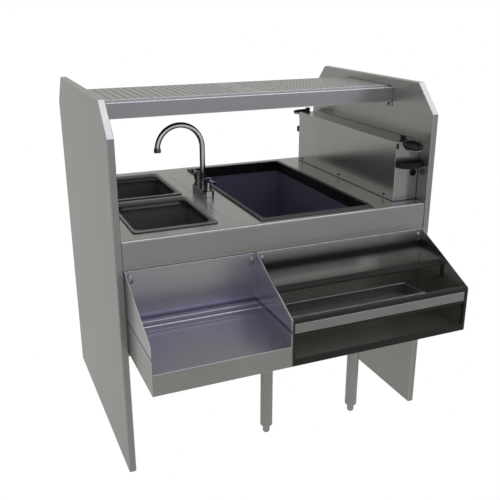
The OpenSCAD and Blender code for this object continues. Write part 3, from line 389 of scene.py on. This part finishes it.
class BAR_OT_sheet_finishes(bpy.types.Operator):
    """Brush the panels, the deck, the shelf and the chase"""

    bl_idname = "bar.sheet_finishes"
    bl_label = "Sheet metal finishes"

    def execute(self, context):
        s = context.scene.bar_finish
        dress(metal("panel_steel", shade(s.steel, 0.95), 0.3, "Z"), "end_panel_left",
              "end_panel_right")
        start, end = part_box("shelf_frame")
        front, under, top = start[1], start[2], end[2]
        nose_depth, nose_height, hem_depth, hem_height = 0.0028, 0.0022, 0.001, 0.0015
        # Painted highlights: the shelf's front top edge and the hem under it are painted brighter.
        dress(metal("shelf_steel", s.steel, 0.25, "X", corner_shade=0.85, marks=[
            across((front - LAP, top - nose_height), (front + nose_depth, top + LAP), 2.4),
            across((front - LAP, under - LAP), (front + hem_depth, under + hem_height), 1.7),
        ]), "shelf_frame")
        dress(metal("sheet_steel", s.steel, 0.25, "X", corner_shade=0.7), "front_panels")
        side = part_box("deck")[1][0]
        crease, end_joint = ((-0.1633, -0.21, 0.761), (-0.1605, 0.444, 0.764), 0.6), 0.0013
        dress(metal("deck_steel", s.steel, 0.25, "X", corner_shade=0.7, marks=[
            crease, *at_ends(side, end_joint, 0.2),
        ]), "deck")
        start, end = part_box("shelf_insert_right")
        far, inset, fold = end[0], 0.003, 0.0013
        # Painted highlight on each insert's front fold, and painted shade on the walls of its
        # holes.
        dress(metal("insert_steel", s.steel, 0.3, "X", corner_shade=1, glint=2, marks=[
            across((start[1] - LAP, None), (start[1] + fold, None), 1.7),
        ], shaded_bores=[
            (inset - far, start[1] + inset, start[2] - LAP),
            (far - inset, end[1] - inset, end[2] + LAP),
        ]), "shelf_insert_left", "shelf_insert_right")
        foot, foot_joint, wall_joint = upright_span("chase_cover")[0], 0.0022, 0.0018
        dress(metal("chase_steel", s.steel, 0.2, "Y", marks=[
            ((None, None, foot - LAP), (None, None, foot + foot_joint), 0.12),
            at_ends(side, wall_joint, 0.15)[0],
        ]), "chase_cover")
        dress(metal("strip_steel", shade(s.steel, 0.8), 0.35, "X"), "rail_strip", "shelf_tabs")
        dress(metal("tube_steel", s.steel, 0.3, "Z"), "leg_tubes")
        dress(metal("channel_steel", s.channel_steel, 0.4, "X"), "deck_channels", "bin_shell",
              "leg_sockets", "chase_bracket")
        return {"FINISHED"}


class BAR_OT_tray_rail_finishes(bpy.types.Operator):
    """Brush the hanging tray and the speed rail, and coat the rail's frames"""

    bl_idname = "bar.tray_rail_finishes"
    bl_label = "Tray and rail finishes"

    def execute(self, context):
        s = context.scene.bar_finish
        back, step, edge = s.tray_back, s.tray_step, s.tray_back - 0.031
        # Painted bands by height round the step of the tray's back: band is a painted dark
        # reflection, glow a painted highlight.
        band, glow = (0.4, 0.4, 0.46), (1.4, 1.4, 1.6)
        wall, high = (1.25, 1.25, 1.3), (1.15, 1.15, 1.16)
        height_shading = levels(step, (-0.01, 1), (0.006, 1.2), (0.012, band), (0.018, band),
                         (0.024, glow), (0.033, wall), (0.09, high))
        # Painted highlights along the two folds at the tray's step.
        fold_highlights = [across((edge - 0.0015, step - 0.0025), (edge + 0.0015, step + 0.002), 2.6),
                 across((back - 0.002, step - LAP), (back + LAP, step + 0.0012), 1.6)]
        # Deep inside, the tray takes a painted bluish reflection and shade.
        dress(metal("tray_shaded_steel", s.steel, 0.25, "X", sheltered=0.2, inside=tuple(s.tray_shaded_steel),
                    height_shading=height_shading, marks=fold_highlights), "tray")
        seam, seam_low, seam_high = 0.0009, 0.45, 0.7
        # Painted reflection and shade on the rail's steel, graded by height.
        dress(metal("rail_steel", s.rail_steel, 0.25, "X", height_shading=rail_reflection_levels(), marks=[
            ((s.rail_seam - seam, None, seam_low), (s.rail_seam + seam, None, seam_high), 0.5),
        ]), "rail_shell")
        dress(metal("pan_steel", s.pan_steel, 0.25, "X"), "rail_insert")
        dress(plastic("black_coat", s.black_coat, 0.45), "rail_frame", "rail_upper_tier")
        return {"FINISHED"}


class BAR_OT_basin_finishes(bpy.types.Operator):
    """Give the sink bowls, the ice bin and its frame their finishes"""

    bl_idname = "bar.basin_finishes"
    bl_label = "Sink and bin finishes"

    def execute(self, context):
        s = context.scene.bar_finish
        rim = upright_span("sink_bowl_front")[1]
        # Painted reflection and highlight: below the rim the lead-in is painted dark, as the dark
        # bowl it reflects, and the top of the rim is painted bright.
        dress(metal("drawn_steel", s.bowl_steel, 0.35, "X", glint=1, height_shading=levels(
            rim, (-0.03435, 1), (-0.01145, 0.12), (-0.001374, 0.05), (-0.0005725, 1.5),
        )), "sink_bowl_front", "sink_bowl_back")
        # Painted reflection and shade: the liner's steel is painted dark navy.
        dress(metal("liner_shaded_steel", s.liner_shaded_steel, 0.45, "X", metallic=0.4), "bin_liner")
        start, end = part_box("bin_frame")
        slope, depth = 0.0045, 0.02
        # Painted highlight: the frame's sloped front top is painted lighter, as the light it
        # catches.
        dress(plastic("bin_black", s.bin_black, 0.4, gloss=0.3, marks=[
            across((start[1] - LAP, end[2] - slope), (start[1] + depth, end[2] + LAP), 12),
        ]), "bin_frame")
        dress(plastic("foam", s.foam, 0.8, 500, 0.0004), "bin_insulation")
        return {"FINISHED"}


class BAR_OT_fitting_finishes(bpy.types.Operator):
    """Give the faucet, the holders, the fasteners and the feet their finishes"""

    bl_idname = "bar.fitting_finishes"
    bl_label = "Fitting finishes"

    def execute(self, context):
        s = context.scene.bar_finish
        polished = {"spread": 0.01, "streak": 0.01, "smudge": 0.02, "metallic": 1, "edge": 0.0006,
                    "glint": 1.3}
        # Painted reflection: the chrome is cream where it looks ahead and dark blue where it looks
        # to the side.
        dress(metal("chrome", s.chrome, 0.05, "Z", side_reflection=tuple(s.chrome_side_reflection), **polished),
              "faucet_body", "valve_bonnets", "faucet_spout", "lever_cold", "lever_hot",
              "sink_drains", "strainer_front", "strainer_back")
        dress(metal("aerator_chrome", shade(s.chrome, 0.3), 0.1, "Z", **polished), "faucet_aerator")
        dress(metal("trim_chrome", s.trim, 0.15, "Z", edge=0.0006, glint=1.5), "holder_trim_front",
              "holder_trim_back")
        dress(metal("fastener_steel", s.zinc, 0.3, "Z"), "hanger_studs", "shelf_bolts",
              "drain_locknuts", "faucet_shanks", "shank_nuts", "bin_drain", "bin_drain_nut",
              "foot_front_left", "foot_front_right", "foot_back_left", "foot_back_right",
              "drip_hooks")
        dress(metal("screw_steel", shade(s.zinc, 0.12), 0.4, "Z"), "chase_screws")
        dress(plastic("black_plastic", s.black_plastic, 0.6, gloss=0.08), "leg_plugs",
              "corner_clips", "holder_spools", "gun_holder_front", "gun_holder_back",
              "drip_tray_front", "drip_tray_back")
        dress(plastic("grommet_rubber", shade(s.black_plastic, 0.5), 0.6), "hose_grommets")
        dress(plastic("cold_index", s.cold, 0.25), "index_cold")
        dress(plastic("hot_index", s.hot, 0.25), "index_hot")
        return {"FINISHED"}


# Modelling


def added(name, primitive, **options):
    """One new primitive, the only thing selected."""
    bpy.ops.object.select_all(action="DESELECT")
    primitive(**options)
    piece = bpy.context.active_object
    piece.name = name
    return piece


def settled(piece, location=(0, 0, 0), turn=(0, 0, 0), size=(1, 1, 1)):
    """Turn, scale and move the piece, and keep that in its mesh."""
    piece.location = location
    piece.rotation_euler = turn
    piece.scale = size
    bpy.ops.object.transform_apply(location=True, rotation=True, scale=True)


def modified(piece, kind, **settings):
    """Add a modifier to the piece and apply it."""
    modifier = piece.modifiers.new(kind.lower(), kind)
    for name, value in settings.items():
        setattr(modifier, name, value)
    bpy.ops.object.modifier_apply(modifier=modifier.name)


def pick(piece, test):
    """In edit mode, select the faces whose normal passes the test."""
    bpy.ops.mesh.select_mode(type="FACE")
    bpy.ops.mesh.select_all(action="DESELECT")
    mesh = bmesh.from_edit_mesh(piece.data)
    for face in mesh.faces:
        if test(face.normal):
            face.select_set(True)
    bmesh.update_edit_mesh(piece.data)


def copied(piece, name, offset):
    """A copy of the piece with its own mesh, moved by the offset."""
    bpy.ops.object.select_all(action="DESELECT")
    piece.select_set(True)
    bpy.context.view_layer.objects.active = piece
    bpy.ops.object.duplicate()
    copy = bpy.context.active_object
    copy.name = name
    settled(copy, offset)
    return copy


def joined(pieces):
    """One object of separate solids."""
    bpy.ops.object.select_all(action="DESELECT")
    for piece in pieces:
        piece.select_set(True)
    bpy.context.view_layer.objects.active = pieces[0]
    bpy.ops.object.join()
    return pieces[0]


def completed(piece, material, body):
    """Smooth the piece, give it its finish and let it ride on its body."""
    bpy.ops.object.shade_smooth_by_angle(angle=math.radians(35))
    piece.data.materials.clear()
    piece.data.materials.append(material)
    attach(piece, body)


def middle(name):
    low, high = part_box(name)
    return [(a + b) / 2 for a, b in zip(low, high)]


# Fittings


class FittingSettings(bpy.types.PropertyGroup):
    pan_sheet: length("Pan sheet", 0.001, "Thickness of the pans under the shelf")
    pan_depth: length("Pan depth", 0.008, "Depth of the pans under the shelf")
    pan_rim: length("Pan rim", 0.009, "Width of the pans' rims")
    web: length("Shelf web", 0.0132, "Distance from the shelf's middle to the pans")
    holder_tilt: angle("Holder tilt", 14.5, "Tilt of the gun holders' rings")
    holder_bore: length("Holder bore", 0.0234, "Radius inside a gun holder's ring")
    stud_inset: length("Stud inset", 0.016, "Distance from a stud to the side of what hangs on it")
    stud_radius: length("Stud head", 0.0069, "Radius of a stud's head")
    ribs: IntProperty(
        name="Aerator ribs", description="Number of ribs round the aerator", default=36
    )
    pitch: length("Thread pitch", 0.0018, "Rise of a thread in one turn")
    screw_share: FloatProperty(
        name="Middle screw", description="Place of the middle screw between the chase's outer two",
        default=0.5023, subtype="FACTOR"
    )


class BAR_OT_shelf_pans(bpy.types.Operator):
    """Put a shallow pan under each perforated shelf insert, its steel painted dark as the shade
    under the shelf
    """

    bl_idname = "bar.shelf_pans"
    bl_label = "Shelf pans"

    def execute(self, context):
        s = context.scene.bar_fitting
        # Painted shade: the pans' steel is darkened to 0.16 of the satin steel.
        steel = shade(context.scene.bar_finish.steel, 0.16)
        dark = metal("shelf_pan_steel", steel, 0.45, "X", glint=1.2)
        seat, end_gap, side_gap = 0.00165, 0.0035, 0.004
        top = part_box("shelf_frame")[1][2] - seat
        for side, end in ((-1, "left"), (1, "right")):
            low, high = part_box(f"shelf_insert_{end}")
            far = max(abs(low[0]), abs(high[0])) - end_gap
            pan = added(f"shelf_pan_{end}", bpy.ops.mesh.primitive_plane_add, size=1)
            settled(pan, (side * (s.web + far) / 2, (low[1] + high[1]) / 2, top), (0, 0, 0),
                    (far - s.web, high[1] - low[1] - side_gap, 1))
            bpy.ops.object.mode_set(mode="EDIT")
            bpy.ops.mesh.select_all(action="SELECT")
            bpy.ops.mesh.inset(thickness=s.pan_rim)
            bpy.ops.mesh.inset(thickness=0.002, depth=-s.pan_depth)
            bpy.ops.object.mode_set(mode="OBJECT")
            modified(pan, "SOLIDIFY", thickness=s.pan_sheet, offset=-1)
            modified(pan, "BEVEL", width=0.0004, segments=2, limit_method="ANGLE")
            completed(pan, dark, "station")
        return {"FINISHED"}


class BAR_OT_holder_floors(bpy.types.Operator):
    """Close the ring of each gun holder with a dished floor"""

    bl_idname = "bar.holder_floors"
    bl_label = "Gun holder floors"

    def execute(self, context):
        s = context.scene.bar_fitting
        black = shade(context.scene.bar_finish.black_plastic, 1.3)
        finish = plastic("holder_floor_black", black, 0.55, gloss=0.1)
        thick, border, dish, well = 0.0036, (0.0015, 0), (0.014, 0.002), (0.001, 0.0006)
        for side, end in ((1, "front"), (-1, "back")):
            floor = added(f"holder_floor_{end}", bpy.ops.mesh.primitive_cylinder_add, vertices=48,
                          radius=s.holder_bore, depth=thick)
            bpy.ops.object.mode_set(mode="EDIT")
            pick(floor, lambda normal: normal.z > 0.9)
            for width, drop in (border, dish, well):
                bpy.ops.mesh.inset(thickness=width, depth=-drop)
            bpy.ops.object.mode_set(mode="OBJECT")
            modified(floor, "BEVEL", width=0.0003, segments=2, limit_method="ANGLE")
            settled(floor, middle(f"holder_trim_{end}"), (side * s.holder_tilt, 0, 0))
            completed(floor, finish, f"{end}_gun_holder")
        return {"FINISHED"}


class BAR_OT_stud_caps(bpy.types.Operator):
    """Round the heads of the studs that the tray and the rail hang on"""

    bl_idname = "bar.stud_caps"
    bl_label = "Stud caps"

    def execute(self, context):
        s = context.scene.bar_fitting
        zinc = shade(context.scene.bar_finish.zinc, 1.15)
        bright = metal("stud_steel", zinc, 0.2, "Z", edge=0.0004, glint=1.2)
        low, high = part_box("hanger_studs")
        spots = []
        for name in ("tray", "rail_shell"):
            start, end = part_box(name)
            spots += [start[0] + s.stud_inset, end[0] - s.stud_inset]
        thick, round_off, proud = 0.0034, 0.0028, 0.001
        first = added("stud_caps", bpy.ops.mesh.primitive_cylinder_add, vertices=32,
                      radius=s.stud_radius, depth=thick)
        modified(first, "BEVEL", width=round_off, segments=5, limit_method="ANGLE")
        settled(first, (spots[0], low[1] - proud, (low[2] + high[2]) / 2), (math.pi / 2, 0, 0))
        others = [copied(first, f"stud_cap_{i}", (x - spots[0], 0, 0))
                  for i, x in enumerate(spots[1:])]
        completed(joined([first, *others]), bright, "station")
        return {"FINISHED"}


class BAR_OT_screw_recesses(bpy.types.Operator):
    """Lay a cross of two thin bars, painted dark as the shade in a recess, in the head of each of
    the chase's screws
    """

    bl_idname = "bar.screw_recesses"
    bl_label = "Screw recesses"

    def execute(self, context):
        s = context.scene.bar_fitting
        # Painted shade: near-black bars stand for the shade in each screw's cross recess.
        dark = plastic("recess_shade", (0.004, 0.004, 0.004), 0.6)
        low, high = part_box("chase_screws")
        radius = (high[2] - low[2]) / 2
        first_y, last_y = low[1] + radius, high[1] - radius
        bar_size = (0.0003, 0.0048, 0.0009)
        bars = []
        for i, y in enumerate((first_y, first_y + s.screw_share * (last_y - first_y), last_y)):
            for j, turn in enumerate((0, math.pi / 2)):
                bar = added(f"recess_{i}_{j}", bpy.ops.mesh.primitive_cube_add, size=1)
                settled(bar, size=bar_size)
                modified(bar, "BEVEL", width=0.0001, segments=1, limit_method="ANGLE")
                settled(bar, (low[0], y, (low[2] + high[2]) / 2), (turn, 0, 0))
                bars.append(bar)
        bars[0].name = "screw_recesses"
        completed(joined(bars), dark, "station")
        return {"FINISHED"}


class BAR_OT_aerator_ribs(bpy.types.Operator):
    """Rib the aerator all round, for wet fingers"""

    bl_idname = "bar.aerator_ribs"
    bl_label = "Aerator ribs"

    def execute(self, context):
        s = context.scene.bar_fitting
        low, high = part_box("faucet_aerator")
        x, y, z = middle("faucet_aerator")
        radius = (high[0] - low[0]) / 2
        rib_size, sunk = (0.001, 0.0008, 0.008), 0.0001
        ribs = added("aerator_ribs", bpy.ops.mesh.primitive_cube_add, size=1)
        settled(ribs, size=rib_size)
        modified(ribs, "BEVEL", width=0.0002, segments=1, limit_method="ANGLE")
        settled(ribs, (x + radius - sunk, y, z))
        bpy.ops.object.mode_set(mode="EDIT")
        bpy.ops.mesh.select_all(action="SELECT")
        bpy.ops.mesh.spin(steps=s.ribs, dupli=True, angle=math.tau, center=(x, y, z),
                          axis=(0, 0, 1))
        bpy.ops.mesh.select_all(action="SELECT")
        bpy.ops.mesh.remove_doubles(threshold=0.00002)
        bpy.ops.mesh.normals_make_consistent(inside=False)
        bpy.ops.object.mode_set(mode="OBJECT")
        completed(ribs, NODES["faucet_aerator"].data.materials[0], "spout")
        return {"FINISHED"}


def thread(name, place, low, high, radius, pitch, ridge):
    """A ridge wound round an upright rod between two heights."""
    half_base = pitch * 0.42
    piece = added(name, bpy.ops.mesh.primitive_circle_add, vertices=4, radius=1)
    settled(piece, (radius, 0, 0), (math.pi / 2, 0, 0), (ridge, half_base, 1))
    modified(piece, "SCREW", axis="Z", angle=math.tau, steps=20, render_steps=20,
             screw_offset=pitch, iterations=int((high - low) / pitch))
    bpy.ops.object.mode_set(mode="EDIT")
    bpy.ops.mesh.select_all(action="SELECT")
    bpy.ops.mesh.remove_doubles(threshold=0.000001)
    bpy.ops.mesh.fill_holes(sides=4)
    bpy.ops.mesh.select_all(action="SELECT")
    bpy.ops.mesh.normals_make_consistent(inside=False)
    bpy.ops.object.mode_set(mode="OBJECT")
    settled(piece, (place[0], place[1], low))
    return piece


class BAR_OT_threads(bpy.types.Operator):
    """Wind the threads of the feet, the faucet's shanks and the bin's drain"""

    bl_idname = "bar.threads"
    bl_label = "Threads"

    def execute(self, context):
        s = context.scene.bar_fitting
        steel = NODES["faucet_shanks"].data.materials[0]
        plain = 0.001
        stem_radius, stem_run, stem_ridge = 0.00635, 0.041, 0.00022
        for name in ("front_left", "front_right", "back_left", "back_right"):
            high = upright_span(f"foot_{name}")[1]
            stem = thread(f"foot_thread_{name}", middle(f"foot_{name}"), high - stem_run,
                          high - plain, stem_radius, s.pitch, stem_ridge)
            completed(stem, steel, f"{name}_foot")
        shank_run, shank_ridge = 0.0515, 0.0005
        low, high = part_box("faucet_shanks")
        radius = (high[0] - low[0]) / 2
        shanks = [thread(f"shank_thread_{i}", ((low[0] + high[0]) / 2, y), low[2] + plain,
                         low[2] + shank_run, radius, s.pitch, shank_ridge)
                  for i, y in enumerate((low[1] + radius, high[1] - radius))]
        shanks[0].name = "shank_threads"
        completed(joined(shanks), steel, "station")
        pipe_radius, pipe_run, pipe_ridge, coarser = 0.0167, 0.0445, 0.0006, 1.25
        low = upright_span("bin_drain")[0]
        pipe = thread("bin_drain_thread", middle("bin_drain"), low + plain, low + pipe_run,
                      pipe_radius, s.pitch * coarser, pipe_ridge)
        completed(pipe, steel, "station")
        return {"FINISHED"}


# Stage


class StageSettings(bpy.types.PropertyGroup):
    lens: FloatProperty(
        name="Lens", description="Focal length of the camera", default=50, unit="CAMERA"
    )
    camera_place: FloatVectorProperty(
        name="Camera", description="Place of the camera", size=3, subtype="TRANSLATION",
        default=(-0.8950, -2.1075, 1.4028),
    )
    azimuth: angle("Azimuth", -23.01, "Angle of the camera round the station")
    elevation: angle("Elevation", 19.94, "Angle of the camera above the horizon")
    roll: angle("Roll", -0.04, "Turn of the camera about its line of sight")
    world: FloatProperty(
        name="World", description="Strength of the even light from all sides", default=0.75
    )
    key: FloatProperty(
        name="Key", description="Power of the softbox above the right", subtype="POWER", default=34
    )
    fill: FloatProperty(
        name="Fill", description="Power of the softbox in front", subtype="POWER", default=14
    )


def softbox(name, place, target, size, power, tint):
    light = bpy.data.lights.new(name, "AREA")
    light.shape = "RECTANGLE"
    light.size, light.size_y = size
    light.energy = power
    light.color = tint
    lamp = bpy.data.objects.new(name, light)
    lamp.location = place
    lamp.rotation_euler = (Vector(target) - Vector(place)).to_track_quat("-Z", "Y").to_euler()
    bpy.context.scene.collection.objects.link(lamp)
    return lamp


def shown_white(tree, surface, output, reflected=None):
    """The camera sees plain white, and reflections see white or the colour given for them."""
    on_object = output.bl_idname == "ShaderNodeOutputMaterial"
    kind = "ShaderNodeEmission" if on_object else "ShaderNodeBackground"
    path = tree.nodes.new("ShaderNodeLightPath")
    for rays in ("Is Transmission Ray", "Is Glossy Ray", "Is Camera Ray"):
        white = tree.nodes.new(kind)
        white.inputs["Color"].default_value = (1, 1, 1, 1)
        white.inputs["Strength"].default_value = 1
        if rays == "Is Glossy Ray" and reflected:
            tree.links.new(reflected, white.inputs["Color"])
        mix = tree.nodes.new("ShaderNodeMixShader")
        tree.links.new(path.outputs[rays], mix.inputs["Fac"])
        tree.links.new(surface, mix.inputs[1])
        tree.links.new(white.outputs[0], mix.inputs[2])
        surface = mix.outputs[0]
    tree.links.new(surface, output.inputs["Surface"])


class BAR_OT_stage(bpy.types.Operator):
    """Put the floor, the soft light and the camera in place"""

    bl_idname = "bar.stage"
    bl_label = "Stage"

    def execute(self, context):
        s = context.scene.bar_stage
        bpy.ops.object.select_all(action="DESELECT")
        bpy.ops.mesh.primitive_plane_add(size=16, location=(0, 0, -0.0005))
        floor = context.active_object
        floor.name = "floor"
        material = bpy.data.materials.new("pale_floor")
        material.use_nodes = True
        tree = material.node_tree
        shader = tree.nodes["Principled BSDF"]
        shader.inputs["Base Color"].default_value = (0.8, 0.8, 0.79, 1)
        shader.inputs["Roughness"].default_value = 0.9
        place = tree.nodes.new("ShaderNodeTexCoord").outputs["Object"]
        reflected = graded(tree, place, "Y", -2.2, 0.6,
                           [(0.2, (0.42, 0.415, 0.42)), (0.9, (0.56, 0.56, 0.55))])
        shown_white(tree, shader.outputs[0], tree.nodes["Material Output"], reflected)
        floor.data.materials.append(material)

        world = bpy.data.worlds.new("studio")
        world.use_nodes = True
        context.scene.world = world
        tree = world.node_tree
        sky = tree.nodes["Background"]
        place = tree.nodes.new("ShaderNodeTexCoord").outputs["Generated"]
        glow = graded(tree, place, "Y", -1, 1,
                      [(0.35, (0.6, 0.6, 0.78)), (0.55, (0.56, 0.56, 0.555))])
        sky.inputs["Color"].default_value = (0.96, 0.97, 1, 1)
        sky.inputs["Strength"].default_value = s.world
        shown_white(tree, sky.outputs[0], tree.nodes["World Output"], glow)

        softbox("key_softbox", (1.25, -0.78, 3.6), (1.25, -0.78, 0), (3.9, 1.4), s.key,
                (0.93, 0.94, 1))
        front = softbox("front_softbox", (1.2, -3.2, 2.9), (0, -0.3, 0.6), (2.2, 1.2), s.fill,
                        (0.87, 0.88, 1))
        front.visible_glossy = False

        camera = bpy.data.objects.new("camera", bpy.data.cameras.new("camera"))
        camera.data.lens = s.lens
        camera.data.sensor_width = 36
        camera.data.clip_start, camera.data.clip_end = 0.05, 60
        back = Vector((math.sin(s.azimuth) * math.cos(s.elevation),
                       -math.cos(s.azimuth) * math.cos(s.elevation), math.sin(s.elevation)))
        turn = (-back).to_track_quat("-Z", "Y").to_matrix() @ Matrix.Rotation(s.roll, 3, "Z")
        camera.rotation_euler = turn.to_euler()
        camera.location = s.camera_place
        context.scene.collection.objects.link(camera)
        context.scene.camera = camera
        context.scene.view_settings.view_transform = "Standard"
        return {"FINISHED"}


# Panel and registration


STEPS = [BAR_OT_sheet_finishes, BAR_OT_tray_rail_finishes, BAR_OT_basin_finishes,
         BAR_OT_fitting_finishes, BAR_OT_shelf_pans, BAR_OT_holder_floors, BAR_OT_stud_caps,
         BAR_OT_screw_recesses, BAR_OT_aerator_ribs, BAR_OT_threads, BAR_OT_stage]


class BAR_PT_station(bpy.types.Panel):
    bl_label = "Bar station"
    bl_space_type = "VIEW_3D"
    bl_region_type = "UI"
    bl_category = "Bar station"

    def draw(self, context):
        scene = context.scene
        for settings in (scene.bar_finish, scene.bar_fitting, scene.bar_stage):
            for name in settings.__annotations__:
                self.layout.prop(settings, name)
        for step in STEPS:
            self.layout.operator(step.bl_idname)


CLASSES = [FinishSettings, FittingSettings, StageSettings, *STEPS, BAR_PT_station]


def register():
    for cls in CLASSES:
        bpy.utils.register_class(cls)
    bpy.types.Scene.bar_finish = PointerProperty(type=FinishSettings)
    bpy.types.Scene.bar_fitting = PointerProperty(type=FittingSettings)
    bpy.types.Scene.bar_stage = PointerProperty(type=StageSettings)


def unregister():
    del bpy.types.Scene.bar_stage
    del bpy.types.Scene.bar_fitting
    del bpy.types.Scene.bar_finish
    for cls in reversed(CLASSES):
        bpy.utils.unregister_class(cls)


def main():
    register()
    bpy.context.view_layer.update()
    bpy.ops.bar.sheet_finishes()
    bpy.ops.bar.tray_rail_finishes()
    bpy.ops.bar.basin_finishes()
    bpy.ops.bar.fitting_finishes()
    bpy.ops.bar.shelf_pans()
    bpy.ops.bar.holder_floors()
    bpy.ops.bar.stud_caps()
    bpy.ops.bar.screw_recesses()
    bpy.ops.bar.aerator_ribs()
    bpy.ops.bar.threads()
    bpy.ops.bar.stage()


if __name__ == "__main__":
    main()
